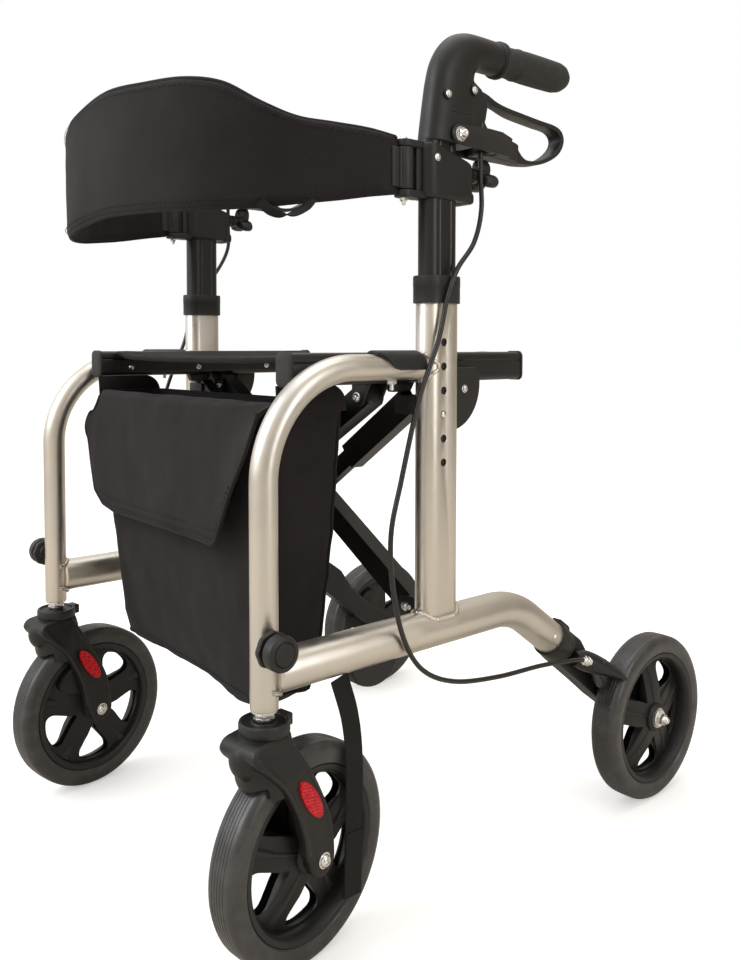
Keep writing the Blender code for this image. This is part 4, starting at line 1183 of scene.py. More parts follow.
def lever_blade():
    """The strap's loop, wider across at the fingers than at the pivot."""
    loop = [(0.0580, 0.7600), (0.0850, 0.7565), (0.1110, 0.7548), (0.1282, 0.7552),
            (0.1524, 0.7583), (0.1723, 0.7654), (0.1868, 0.7745), (0.1940, 0.7850),
            (0.1945, 0.7940), (0.1890, 0.8012), (0.1768, 0.8050), (0.1517, 0.8066),
            (0.1086, 0.8103), (0.0840, 0.8150), (0.0680, 0.8205), (0.0590, 0.8200),
            (0.0550, 0.8020), (0.0560, 0.7800)]
    hole = [(0.0680, 0.7870), (0.0859, 0.7807), (0.1130, 0.7757), (0.1160, 0.7690),
            (0.1232, 0.7628), (0.1329, 0.7604), (0.1524, 0.7630), (0.1700, 0.7702),
            (0.1830, 0.7795), (0.1888, 0.7880), (0.1870, 0.7950), (0.1768, 0.7996),
            (0.1517, 0.8014), (0.1086, 0.8052), (0.0840, 0.8098), (0.0690, 0.8120),
            (0.0640, 0.7990)]
    body = prism(closed_spline(loop, 5), "X", SIDE_X - 0.0062, SIDE_X + 0.0062)
    opening = prism(closed_spline(hole, 5), "X", SIDE_X - 0.020, SIDE_X + 0.020)
    blade = soften(combine(body, [opening], "DIFFERENCE"), 0.0014, 3, 40)
    for vert in blade.data.vertices:
        vert.co.x = SIDE_X + (vert.co.x - SIDE_X) * (1 + 0.5 * smoothstep(0.080, 0.120, vert.co.y))
    return blade


def brake_lever():
    """Strap bent into a loop with a stepped lower blade, on two cheeks round the housing."""
    cheek = [(0.0900, 0.7560), (0.0920, 0.7760), (0.0760, 0.7805), (0.0560, 0.7810)]
    cheek += arc(LEVER_PIVOT, 0.0100, 82, 268, 14)
    cheeks = [soften(prism(cheek, "X", SIDE_X + low, SIDE_X + high), 0.0008, 2)
              for low, high in ((0.0171, 0.0202), (-0.0202, -0.0171))]
    web = soften(box((SIDE_X - 0.0195, SIDE_X + 0.0195), (0.0605, 0.0760), (0.7585, 0.7795)),
                 0.0015)
    rings = []
    for y, half_x, low, high in ((0.0740, 0.0195, 0.7575, 0.7790), (0.0980, 0.0125, 0.7560, 0.7765),
                                 (0.1130, 0.0096, 0.7552, 0.7740)):
        rings.append([Vector((SIDE_X + side * half_x, y, z))
                      for side, z in ((1, low), (-1, low), (-1, high), (1, high))])
    return merge([lever_blade(), *cheeks, web, soften(loft(rings), 0.0012)])


def clamp_body():
    """Block round the handle post, arched below and sloping down to the rear, where the knob's
    boss is; cut through by the post and split at the rear."""
    front_y, rear_y = -0.028, 0.042
    centre = (front_y + rear_y) / 2
    rings = []
    for share, inset in ((0.0, 0.0022), (0.04, 0.0006), (0.10, 0.0), (0.90, 0.0), (0.97, 0.0006),
                         (1.0, 0.0022)):
        ring = []
        for u, v in rounded_box(0.0155 - inset, (rear_y - front_y) / 2 - inset, 0.0125 - inset, 10):
            arch = 0.0065 * max(0.0, 1 - ((v - 0.002) / 0.022) ** 2)
            slope = 0.0165 * smoothstep(-0.020, 0.040, v)
            low, high = CLAMP_LOW + arch + 0.0008, CLAMP_HIGH - slope
            ring.append(Vector((SIDE_X + u, centre + v, low + (high - low) * share)))
        rings.append(ring)
    foot = soften(box((SIDE_X - 0.0130, SIDE_X + 0.0130), (0.0270, rear_y),
                      (CLAMP_LOW - 0.0002, 0.7150)), 0.003)
    boss = lathe([(0.0390, 0.0095), (0.0470, 0.0082)], "Y", (SIDE_X, KNOB_Z), 36)
    body = sculpt([loft(rings), foot, boss], voxel=0.0013, passes=4)
    bore = prism(post_section(HANDLE_R + 0.0003), "Z", 0.69, 0.77)
    split = box((SIDE_X - 0.0006, SIDE_X + 0.0006), (0.0300, 0.0600), (0.69, 0.77))
    return combine(body, [bore, split], "DIFFERENCE")


def backrest_clamp():
    """Clamp on the handle post, with a forked hinge and its pin for the backrest."""
    x = HINGE[0]
    ear = arc(HINGE, 0.0092, 180, 360, 20) + [(x + 0.0092, -0.022), (x - 0.0092, -0.022)]
    ears = [soften(prism(ear, "Z", low, high), 0.0012) for low, high in
            ((CLAMP_LOW, CLAMP_LOW + 0.007), (CLAMP_HIGH - 0.007, CLAMP_HIGH))]
    spine = soften(box((x - 0.0070, x + 0.0070), (-0.0340, -0.0260),
                       (CLAMP_LOW + 0.003, CLAMP_HIGH - 0.003)), 0.0012)
    pin = rod("Z", HINGE, 0.0025, CLAMP_LOW + 0.002, CLAMP_HIGH - 0.002, 20)
    return merge([clamp_body(), *ears, spine, pin])


def clamp_fasteners():
    """The hinge pin's tip below and its cap above, and the screw in the clamp's outer face."""
    tip = stack([(0, 0.0026, False), (0.0030, 0.0026, False), (0.0036, 0.0034, True),
                 (0.0060, 0.0034, True), (0.0075, 0.0022, False), (0.0105, 0.0016, False)])
    aim(tip, (0, 0, -1), (*HINGE, CLAMP_LOW + 0.003))
    cap = socket_screw(0.0040, (0, 0, 1), (*HINGE, CLAMP_HIGH))
    side = socket_screw(0.0030, (1, 0, 0), (SIDE_X + 0.0154, -0.0150, 0.7435))
    return merge([tip, cap, side])


def clamp_knob():
    """Three-winged hand knob on its screw."""
    screw = lathe([(0.0365, 0.0030), (0.0475, 0.0030), (0.0476, 0.0070), (0.0490, 0.0080),
                   (0.0570, 0.0075), (0.0600, 0.0095), (0.0640, 0.0090)],
                  "Y", (SIDE_X, KNOB_Z), 32)
    rings = []
    for y, scale in ((0.0572, 0.72), (0.0584, 0.86), (0.0620, 0.96), (0.0670, 1.0),
                     (0.0725, 0.98), (0.0745, 0.90), (0.0750, 0.76)):
        outline = []
        for i in range(90):
            angle = 2 * pi * i / 90
            reach = (0.0130 + 0.0066 * cos(3 * (angle + radians(25)))) * scale
            outline.append((SIDE_X + reach * cos(angle), KNOB_Z + reach * sin(angle)))
        rings.append(place(outline, "Y", y))
    return merge([screw, loft(rings)])


# ---------------------------------------------------------------- seat and cross-brace

def rail_outline(half_u, half_v, grooved):
    """Rounded rail section, with a sewing groove along each upright face."""
    points = []
    for u, v in resample(rounded_box(half_u, half_v, 0.0055), 120):
        depth = 0.0013 * max(0.0, 1 - abs(v - 0.0062) / 0.0014) if grooved else 0.0
        if abs(u) > half_u * 0.93:
            u -= depth * (1 if u > 0 else -1)
        points.append((RAIL_X + u, RAIL_MIDDLE + v))
    return points


def seat_rail(arm_side):
    """Left seat rail, with the ears below that sit on an arm from the other side."""
    half_v = (RAIL_HIGH - RAIL_LOW) / 2
    outer = rail_outline(RAIL_HALF, half_v, True)
    inner = rail_outline(RAIL_HALF - 0.0018, half_v - 0.0018, False)
    rail = loft([place(outer, "Y", RAIL_FRONT), place(outer, "Y", RAIL_REAR),
                 place(inner, "Y", RAIL_REAR), place(inner, "Y", RAIL_FRONT)], wrap=True)
    y = ARM_Y[arm_side]
    ears = []
    outline = arc((PIVOT_X + 0.002, PIVOT_TOP_Z), 0.0095, 180, 360, 12)
    outline += [(0.2000, RAIL_LOW + 0.0012), (0.1725, RAIL_LOW + 0.0012)]
    for low, high in ((-EAR_OUTER, -EAR_INNER), (EAR_INNER, EAR_OUTER)):
        ears.append(prism(outline, "Y", y + low, y + high))
    pin = rod("Y", (PIVOT_X, PIVOT_TOP_Z), PIN_R, y - 0.0130, y + 0.0130, 24)
    return merge([rail, soften(merge(ears), 0.0006, 2), pin])


def rail_caps():
    """Domed plugs in both ends of the rail."""
    caps = []
    for y, way in ((RAIL_FRONT, -1), (RAIL_REAR, 1)):
        rings = []
        for step, inset in ((-0.004, 0.0024), (0.0, 0.0024), (0.0001, -0.0008),
                            (0.0022, -0.0010), (0.0036, 0.0000), (0.0044, 0.0022),
                            (0.0048, 0.0052)):
            outline = rounded_box(RAIL_HALF - inset, 0.0155 - inset, 0.0058 - inset * 0.5, 8)
            ring = [(RAIL_X + u, RAIL_MIDDLE + v) for u, v in outline]
            rings.append(place(ring, "Y", y + way * step))
        caps.append(loft(rings))
    return merge(caps)


def rail_screws():
    """Screws through the inner face of the rail."""
    return merge([socket_screw(0.0030, (-1, 0, 0), (RAIL_X - RAIL_HALF, y, 0.5330))
                  for y in (-0.128, -0.030, 0.080)])


def rail_receiver():
    """Block under the rail that meets the saddle on the hoop."""
    side_view = [(-0.040, 0.5225), (-0.036, 0.5130), (-0.012, 0.5130), (-0.006, 0.5225)]
    return soften(prism(side_view, "X", 0.1900, 0.2000), 0.0015)


def keep_cad_node(node, slot, edge=0.0012):
    """Give a CAD node its finish and rounded edges, leaving its mesh as it is."""
    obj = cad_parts[node]
    obj.data.materials.clear()
    obj.data.materials.append(MATERIALS[slot])
    weld = obj.modifiers.new("weld", "WELD")
    weld.merge_threshold = 0.00001
    bevel = obj.modifiers.new("round", "BEVEL")
    bevel.width = edge
    bevel.segments = 3
    bevel.angle_limit = radians(40)
    bevel.harden_normals = True


def arm_point(side, share):
    """A point on an arm's centre line: 0 at its lower pivot, 1 at its top pivot."""
    return Vector((side * PIVOT_X * (1 - 2 * share), ARM_Y[side],
                   PIVOT_LOW_Z + share * (PIVOT_TOP_Z - PIVOT_LOW_Z)))


def arm_plugs(side):
    """Plugs in both ends of the arm's tube."""
    low, high = arm_point(side, 0), arm_point(side, 1)
    ahead = (high - low).normalized()
    up = ahead.cross(AXES["Y"])
    plugs = []
    for point, way in ((low, -1), (high, 1)):
        rings = []
        for step, width, height in ((0.0040, 0.0078, 0.0103), (0.0082, 0.0078, 0.0103),
                                    (0.0083, 0.0100, 0.0125), (0.0100, 0.0098, 0.0123),
                                    (0.0112, 0.0080, 0.0105)):
            centre = point + ahead * way * step
            rings.append([centre + AXES["Y"] * u + up * v
                          for u, v in rounded_box(width, height, 0.0020, 4)])
        plugs.append(loft(rings))
    return merge(plugs)


def pivot_screws(side, top):
    """Screw head and nut on the outer faces of a pivot's ears."""
    y, reach = ARM_Y[side], EAR_OUTER - 0.0001
    x = -side * PIVOT_X if top else side * PIVOT_X
    z = PIVOT_TOP_Z if top else PIVOT_LOW_Z
    return merge([socket_screw(0.0042, (0, -1, 0), (x, y - reach, z)),
                  acorn_nut(0.0046, (0, 1, 0), (x, y + reach, z))])


# ---------------------------------------------------------------- soft goods

def drape(obj, is_pinned, steps, gravity, pressure, limit, stiffness=15):
    """Run the cloth simulation, cap how far each point moves and keep only the result. Points
    for which is_pinned(index, place) holds stay where they are."""
    rest = [vert.co.copy() for vert in obj.data.vertices]
    group = obj.vertex_groups.new(name="pinned")
    group.add([i for i, point in enumerate(rest) if is_pinned(i, point)], 1.0, "REPLACE")
    simulation = obj.modifiers.new("cloth", "CLOTH")
    settings = {"quality": 6, "mass": 0.25, "tension_stiffness": stiffness,
                "compression_stiffness": stiffness, "shear_stiffness": stiffness / 2,
                "bending_stiffness": 0.6, "vertex_group_mass": "pinned",
                "use_pressure": pressure > 0, "uniform_pressure_force": pressure}
    for name, value in settings.items():
        setattr(simulation.settings, name, value)
    simulation.settings.effector_weights.gravity = gravity
    simulation.collision_settings.use_collision = False
    simulation.point_cache.frame_end = steps
    for step in range(1, steps + 1):
        bpy.context.scene.frame_set(step)
    bake(obj)
    bpy.context.scene.frame_set(1)
    for vert, before in zip(obj.data.vertices, rest):
        moved = vert.co - before
        if moved.length > limit:
            vert.co = before + moved.normalized() * limit
    return obj


def wrinkle(spot, scale, height, seed):
    """Signed height of soft creases at a spot."""
    point = spot * scale + Vector((seed, seed * 0.7, -seed))
    return height * (noise.noise(point) + 0.5 * noise.noise(point * 2.3))


def crease(obj, scale, height, seed):
    """Push every point along its normal by soft noise."""
    for vert in obj.data.vertices:
        vert.co += vert.normal * wrinkle(vert.co, scale, height, seed)
    return obj


def subdivide(obj):
    modifier = obj.modifiers.new("subdivide", "SUBSURF")
    modifier.levels = modifier.render_levels = 1


def thicken(obj, thickness, finer=False):
    solidify = obj.modifiers.new("thickness", "SOLIDIFY")
    solidify.thickness = thickness
    solidify.offset = -1
    solidify.use_even_offset = True
    if finer:
        subdivide(obj)
    return bake(obj)


def stitches(path, normal, length=0.0040, gap=0.0026, radius=0.00042):
    """A row of thread stitches along a path, lying on the side that the normal names."""
    shapes = []
    travelled = 0.0
    next_at = gap
    for a, b in zip(path, path[1:]):
        reach = (b - a).length
        while next_at < travelled + reach:
            start = a + (b - a) * ((next_at - travelled) / reach)
            ahead = (b - a).normalized()
            rings = []
            for share, swell, sink in ((0, 0.3, 1.0), (0.2, 1.0, 0.2), (0.8, 1.0, 0.2),
                                       (1, 0.3, 1.0)):
                centre = start + ahead * length * share - normal * radius * sink
                side = ahead.cross(normal).normalized()
                rings.append([centre + side * u * swell + normal * v * swell
                              for u, v in circle(radius, 6)])
            shapes.append(loft(rings))
            next_at += length + gap
        travelled += reach
    return merge(shapes)


# Rows of (height, half width, front, back).
BAG_LEVELS = [(BAG_LOW, 0.140, -0.162, -0.082), (0.240, 0.148, -0.167, -0.080),
              (0.380, 0.172, -0.175, -0.083), (BAG_HIGH, 0.186, -0.172, -0.086)]
BAG_HALF = BAG_LEVELS[-1][1]
BAG_MIDDLE = Vector((0, (BAG_LEVELS[0][2] + BAG_LEVELS[0][3]) / 2, BAG_LOW + 0.001))
BAG_RING = 132


def bag_outline(z, inset=0.0):
    half, front, back = between(BAG_LEVELS, z)
    middle_y = (front + back) / 2
    outline = rounded_box(half - inset, (back - front) / 2 - inset, 0.013, 5)
    droop = 0.014 * (BAG_HIGH - z) / (BAG_HIGH - BAG_LOW)
    return [Vector((u, middle_y + v, z - droop * smoothstep(-0.13, 0.15, u)))
            for u, v in resample(outline, BAG_RING)]


def bag_walls(levels):
    """Open-topped shell: rings down the walls, then smaller ones across the floor."""
    rings = [bag_outline(BAG_HIGH - (BAG_HIGH - BAG_LOW - 0.004) * i / (levels - 1), 0.0022)
             for i in range(levels)]
    for share in (0.90, 0.72, 0.52, 0.32, 0.12):
        rings.append([Vector((point.x * share, BAG_MIDDLE.y + (point.y - BAG_MIDDLE.y) * share,
                              point.z - 0.003)) for point in rings[levels - 1]])
    body = loft(rings, caps=False)
    bm = bmesh.new()
    bm.from_mesh(body.data)
    last = [v for v in bm.verts if v.index >= len(bm.verts) - BAG_RING]
    bm.faces.new(sorted(last, key=lambda v: v.index))
    bmesh.ops.recalc_face_normals(bm, faces=bm.faces)
    bm.to_mesh(body.data)
    bm.free()
    face_towards(body, body.data.polygons[0].center - BAG_MIDDLE)
    return body


def bag_seams(wall, levels):
    """Cords down the four corners and round the floor, on the draped wall's points."""
    seams = []
    corner_x = BAG_HALF - 0.0062
    for left, rear in ((True, False), (True, True), (False, True), (False, False)):
        at = next(i for i in range(BAG_RING)
                  if (wall[i].x > 0, wall[i].y > BAG_MIDDLE.y) == (left, rear)
                  and abs(abs(wall[i].x) - corner_x) < 0.004)
        path = [wall[level * BAG_RING + at] for level in range(levels)]
        out = Vector((path[0].x, (path[0].y - BAG_MIDDLE.y) * 3, 0)).normalized() * 0.0008
        seams.append(sweep([point + out for point in path], circle(0.0017, 8), AXES["X"]))
    floor_ring = wall[(levels - 1) * BAG_RING:levels * BAG_RING]
    return seams + [sweep(floor_ring, circle(0.0017, 8), AXES["Z"], wrap=True)]


def bag_hem():
    """Doubled band of fabric round the mouth."""
    section = ((0.0030, BAG_HIGH - 0.020), (0.0002, BAG_HIGH - 0.0198),
               (-0.0002, BAG_HIGH - 0.002), (0.0012, BAG_HIGH + 0.0004),
               (0.0044, BAG_HIGH + 0.0002), (0.0050, BAG_HIGH - 0.012))
    return loft([[Vector((p.x, p.y, z)) for p in bag_outline(min(z, BAG_HIGH), inset)]
                 for inset, z in section], wrap=True)


def bag_body():
    """Draped bag: walls that belly out a little, seamed corners and a stitched hem."""
    levels = 40
    body = bag_walls(levels)
    drape(body, lambda i, point: point.z > BAG_HIGH - 0.012, steps=22, gravity=0.6, pressure=0.9,
          limit=0.0075)
    crease(body, scale=19, height=0.0016, seed=3)
    crease(body, scale=52, height=0.0007, seed=8)
    seams = bag_seams([vert.co.copy() for vert in body.data.vertices], levels)
    thicken(body, 0.0018)
    return merge([body, *seams, bag_hem()])


def flap_low(x):
    """Height of the flap's lower edge: level in the middle, cut away at both corners."""
    edge = [(-0.193, 0.432), (-0.186, 0.408), (-0.172, 0.386), (-0.150, 0.371), (-0.120, 0.3655),
            (0.098, 0.3630), (0.109, 0.3685), (0.137, 0.4180), (0.165, 0.4600), (0.186, 0.4980)]
    return between(edge, x)[0]


def flap_point(t, s, proud=0.0):
    """A point on the flap: t runs from the right-hand end to the left, s from top to edge."""
    x = (-0.172 - 0.029 * sin(pi * s ** 1.4)) * (1 - t) + 0.186 * t
    top = BAG_HIGH + 0.0022
    z = top - (top - flap_low(x)) * s
    y = -0.1745 - 0.0100 * sin(pi / 2 * min(s * 1.3, 1.0)) - proud
    y -= 0.0085 * smoothstep(0.045, 0.150, x) * smoothstep(0.10, 1.0, s)
    y += 0.0025 * smoothstep(-0.168, -0.193, x)
    y += 0.0060 * (1 - smoothstep(0.0, 0.05, s))
    y -= 0.0030 * sin(6.0 * x / 0.19 + 0.7) * s * (1 - s)
    return Vector((x, y, z))


def bag_flap():
    """Flap that hangs over the front, lined, bound at its edge and stitched twice along it."""
    columns, rows = 76, 40
    sheet = grid([[flap_point(i / columns, k / rows) for i in range(columns + 1)]
                  for k in range(rows + 1)])
    face_towards(sheet, -AXES["Y"])
    crease(sheet, scale=24, height=0.0013, seed=5)
    thicken(sheet, 0.0026, finer=True)
    border = [flap_point(0, k / 30, 0.0002) for k in range(2, 31)]
    border += [flap_point(i / 70, 1, 0.0002) for i in range(1, 71)]
    border = [point + Vector((0, 0.0012, 0)) for point in border]
    binding = sweep(border, circle(0.0021, 10), AXES["Y"])
    return merge([sheet, binding])


def flap_stitches():
    rows = []
    for s in (0.905, 0.960):
        path = [flap_point(i / 60, s, 0.0005) for i in range(4, 53)]
        rows.append(stitches(path, Vector((0, -1, 0))))
    return merge(rows)


def hem_stitches():
    path = [Vector((p.x, p.y, BAG_HIGH - 0.0155)) for p in bag_outline(BAG_HIGH, -0.0006)]
    rear = [p for p in path if p.y > -0.130]
    left = sorted((p for p in rear if p.x > 0), key=lambda p: (p.y, -p.x))
    right = sorted((p for p in rear if p.x <= 0), key=lambda p: (p.y, p.x))
    return merge([stitches(left, Vector((1, 0, 0))), stitches(right, Vector((-1, 0, 0)))])


def bag_gussets():
    """Side panels that carry the bag's fabric on up to the rails, rounded at the back."""
    outline = [(-0.1700, 0.4960), (-0.1715, 0.5225), (-0.1080, 0.5225)]
    outline += arc((-0.1080, 0.5015), 0.0210, 90, 0, 8) + [(-0.0868, 0.4960)]
    panels = []
    for side in (1, -1):
        low, high = sorted((side * (BAG_HALF + 0.0004), side * (BAG_HALF - 0.0020)))
        panels.append(soften(prism(outline, "X", low, high), 0.0006, 2))
    return merge(panels)


def sling_sheet(columns, rows):
    """Sheet between the rails that sags most in its middle."""
    points = []
    for k in range(rows + 1):
        v = k / rows
        y = SLING_FRONT + (SLING_REAR - SLING_FRONT) * v
        row = []
        for i in range(columns + 1):
            u = i / columns
            sag = 0.0045 * sin(pi * u) * (0.6 + 0.4 * sin(pi * v))
            row.append(Vector((SLING_HALF * (2 * u - 1), y, RAIL_HIGH + 0.0002 - sag)))
        points.append(row)
    return grid(points)


def seat_sling():
    """Fabric seat that sags between the rails, hemmed at the front and the back."""
    columns = 64
    sheet = sling_sheet(columns, 50)
    face_towards(sheet, AXES["Z"])
    drape(sheet, lambda i, point: abs(point.x) > SLING_HALF - 0.004, steps=18, gravity=1.0,
          pressure=0, limit=0.0060, stiffness=25)
    crease(sheet, scale=26, height=0.0006, seed=2)
    points = [vert.co.copy() for vert in sheet.data.vertices]
    edges = ((points[:columns + 1], 1), (points[-columns - 1:], -1))
    thicken(sheet, 0.0022, finer=True)
    flat = [(-0.0008, -0.012), (0.0010, -0.012), (0.0013, 0.0), (0.0010, 0.012),
            (-0.0008, 0.012), (-0.0034, 0.011), (-0.0034, -0.011)]
    hems = []
    threads = []
    for edge, way in edges:
        path = [p + Vector((0, way * 0.0125, 0.0002)) for p in edge[1:-1]]
        hems.append(sweep(path, flat, AXES["Z"]))
        for inward in (0.005, 0.020):
            path = [p + Vector((0, way * inward, 0.0018)) for p in edge[2:-2]]
            threads.append(stitches(path, AXES["Z"]))
    return merge([sheet, *hems]), merge(threads)


# Left half of the backrest band, in rows of (x, y, low edge, high edge).
BAND = [(0.2225, -0.0565, 0.7065, 0.7600), (0.2210, -0.0900, 0.7010, 0.7625),
        (0.2158, -0.1280, 0.6940, 0.7630), (0.2045, -0.1620, 0.6890, 0.7655),
        (0.1870, -0.1900, 0.6850, 0.7780), (0.1620, -0.2130, 0.6840, 0.7960),
        (0.1260, -0.2300, 0.6850, 0.8045), (0.0750, -0.2410, 0.6880, 0.8090),
        (0.0000, -0.2455, 0.6910, 0.8150)]


def band_stations(steps=6):
    """Rows of (centre, outward direction, low, high) from the left end to the right."""
    mirrored = [(-x, y, low, high) for x, y, low, high in BAND[-2::-1]]
    rows = spline(BAND + mirrored, steps)
    stations = []
    for i, row in enumerate(rows):
        a, b = rows[max(i - 1, 0)], rows[min(i + 1, len(rows) - 1)]
        ahead = Vector((b[0] - a[0], b[1] - a[1], 0)).normalized()
        stations.append((Vector((row[0], row[1], 0)), Vector((ahead.y, -ahead.x, 0)),
                         row[2], row[3]))
    return stations


def band_padding(stations, section=52):
    """Swollen cushion between the band's edges, pinned near them while it is blown up."""
    last = len(stations) - 1
    rings = []
    pinned = set()
    for k, (centre, out, low, high) in enumerate(stations):
        half = BAND_THICKNESS / 2 - 0.0012 - 0.0015 * (1 - smoothstep(0, 4, min(k, last - k)))
        outline = resample(rounded_box(half, (high - low) / 2, half * 0.96, 5), section)
        rings.append([centre + out * u + Vector((0, 0, (low + high) / 2 + v))
                      for u, v in outline])
        for i, point in enumerate(rings[k]):
            if point.z > high - 0.0055 or point.z < low + 0.0055 or k < 2 or k > last - 2:
                pinned.add(k * section + i)
    band = loft(rings)
    drape(band, lambda i, point: i in pinned, steps=20, gravity=0, pressure=3.2, limit=0.0042,
          stiffness=12)
    crease(band, scale=17, height=0.0011, seed=6)
    crease(band, scale=60, height=0.00035, seed=9)
    subdivide(band)
    return bake(band)


def backrest_band():
    """Padded band with piping along its edges and down its ends."""
    stations = band_stations()
    cord = circle(0.0024, 10)
    pipes = []
    for pick, lift in ((3, -0.0006), (2, 0.0006)):
        path = [row[0] + Vector((0, 0, row[pick] + lift)) for row in stations]
        pipes.append(sweep(path, cord, AXES["Y"]))
    for row in (stations[0], stations[-1]):
        path = [row[0] + Vector((0, 0, row[2] + (row[3] - row[2]) * k / 6)) for k in range(7)]
        pipes.append(sweep(path, cord, AXES["X"]))
    return merge([band_padding(stations), *pipes])


def band_stitches():
    """Thread along the binding, outside and inside, at the top and the bottom."""
    stations = band_stations()
    rows = []
    for way in (1, -1):
        for pick, lift in ((3, -0.0070), (2, 0.0070)):
            path = [row[0] + row[1] * way * (BAND_THICKNESS / 2 - 0.0002)
                    + Vector((0, 0, row[pick] + lift)) for row in stations]
            for k in range(3, len(path) - 4, 6):
                rows.append(stitches(path[k:k + 7], stations[k + 3][1] * way))
    return merge(rows)


def band_loop():
    """Small webbing loop sewn under the left part of the band."""
    path = spline([(0.2135, -0.1500, 0.6925), (0.2115, -0.1580, 0.6835), (0.2070, -0.1720, 0.6765),
                   (0.1995, -0.1850, 0.6790), (0.1940, -0.1950, 0.6880)], 6)
    strap = [(0.0045, -0.0006), (0.0045, 0.0006), (-0.0045, 0.0006), (-0.0045, -0.0006)]
    return sweep(path, strap, Vector((0.75, 0.66, 0)))


def backrest_hinge():
    """Barrel and tab at the end of the band's frame."""
    x, y = HINGE
    barrel = lathe([(0.7112, 0.0078), (0.7112, 0.0090), (0.7120, 0.0095), (0.7500, 0.0095),
                    (0.7508, 0.0090), (0.7508, 0.0078)], "Z", HINGE, 40, wrap=True)
    tab = soften(box((x - 0.0050, x + 0.0050), (-0.0640, y - 0.0082), (0.7118, 0.7502)), 0.0015)
    grooves = [rod("Z", (x + s * 0.0052, -0.0535), 0.0013, 0.7125, 0.7495, 12) for s in (1, -1)]
    return merge([barrel, tab, *grooves])


def brake_cable():
    """Outer cable from the housing, across the post and down to the rear brake."""
    points = [(0.2360, 0.0512, 0.7800), (0.2360, 0.0512, 0.7350), (0.2372, 0.0512, 0.6980),
              (0.2420, 0.0350, 0.6640), (0.2438, 0.0090, 0.6360), (0.2438, -0.0050, 0.6080),
              (0.2430, -0.0170, 0.5650), (0.2425, -0.0430, 0.5070), (0.2425, -0.0660, 0.4320),
              (0.2430, -0.0800, 0.3800), (0.2450, -0.0780, 0.3250), (0.2480, -0.0660, 0.2770),
              (0.2480, -0.0400, 0.2430), (0.2480, 0.0050, 0.2220), (0.2490, 0.0700, 0.2120),
              (0.2500, 0.1400, 0.2080), (0.2530, 0.1900, 0.2030), (0.2530, 0.2150, 0.1985)]
    path = spline(points, 9)
    ferrule = lathe([(0.7790, 0.0026), (0.7790, 0.0036), (0.7860, 0.0036), (0.7900, 0.0024),
                     (0.7960, 0.0020)], "Z", (0.2360, 0.0512), 20)
    return merge([sweep(path, circle(0.0025, 16), AXES["X"]), ferrule])


def barrel_adjuster():
    """Threaded barrel and two nuts where the cable meets the brake."""
    start = Vector((0.2530, 0.2125, 0.1990))
    ahead = Vector((0.0, 0.93, -0.36)).normalized()
    barrel = aim(lathe([(0, 0.0029)] + [(0.001 + k * 0.0006, 0.0029 + 0.0004 * (k % 2))
                                        for k in range(26)] + [(0.0170, 0.0020)], "Z", (0, 0), 20),
                 ahead, start)
    nuts = [hex_nut(0.0048, 0.0034, ahead, start + ahead * reach) for reach in (0.0028, 0.0098)]
    return merge([barrel, *nuts])


def fold_strap():
    """Webbing strap that hangs loose beside the left castor."""
    path = spline([(0.2290, -0.132, 0.2530), (0.2325, -0.122, 0.2150), (0.2345, -0.1185, 0.1750),
                   (0.2348, -0.1190, 0.1200), (0.2342, -0.1210, 0.0450)], 10)
    strap = [(0.0008, 0.0100), (0.0003, 0.0104), (-0.0008, 0.0100), (-0.0008, -0.0100),
             (-0.0003, -0.0104), (0.0008, -0.0100)]
    turned_end = [point + Vector((0.0010, 0, 0)) for point in path[-9:]]
    return merge([sweep(path, strap, AXES["X"]), sweep(turned_end, strap, AXES["X"])])


# ---------------------------------------------------------------- assembly

def add_pairs(body, rows):
    """Pieces of one body, from (stem, shape, slot, CAD node or None, more settings) rows."""
    for stem, shape, slot, node, more in rows:
        add_pair(stem, shape, slot, body, node, **more)


def add_frame():
    add_pairs("frame", (
        ("side_frame_tubes", side_tubes(), "satin_aluminium", "side_frame", {}),
        ("weld_beads", welds(), "satin_aluminium", None, {"sharp": 80}),
        ("post_collar_shell", post_collar(), "black_plastic", "post_collar", {}),
        ("bumper_shell", frame_bumper(), "black_plastic", "frame_bumper", {}),
        ("saddle_shell", rail_saddle(), "black_plastic", "rail_saddle", {}),
        ("guide_plate", rail_guide(), "black_plastic", "rail_guide", {}),
        ("frame_fasteners", frame_fasteners(), "bright_steel", "castor_stem", {}),
        ("rear_axle_bolt", rear_axle(), "bright_steel", "rear_axle", {}),
        ("rear_arm_shell", rear_arm(), "black_plastic", "rear_arm", {"sharp": 50}),
        ("barrel_adjuster", barrel_adjuster(), "bright_steel", None, {})))
    for side, suffix in SIDES:
        add("hinge_blocks" + suffix, turned_over(hinge_blocks(side), side), "black_plastic",
            "frame" + suffix)
    add_pair("brake_fin", brake_shoe(), "dark_aluminium", "shoe", "brake_shoe")


def add_wheels():
    turned = {"castor": True}
    add_pairs("castor", (
        ("fork_shell", castor_fork(), "black_plastic", "castor_fork", {**turned, "sharp": 60}),
        ("castor_cap", castor_cap(), "black_plastic", None, turned),
        ("fork_reflector", merge([lens(1), lens(-1)]), "reflector_red", None,
         {**turned, "sharp": 12}),
        ("front_axle_bolt", front_axle(), "bright_steel", "front_axle", turned)))
    for kind, hub, more in (("front", FRONT_HUB, turned), ("rear", REAR_HUB, {})):
        add_pairs(kind + "_wheel", (
            (kind + "_wheel_rim", rim(hub), "black_plastic", kind + "_rim", more),
            (kind + "_wheel_tyre", tyre(hub), "grey_tyre", kind + "_tyre", more),
            (kind + "_bearings", wheel_bearings(hub), "bright_steel", None, more)))


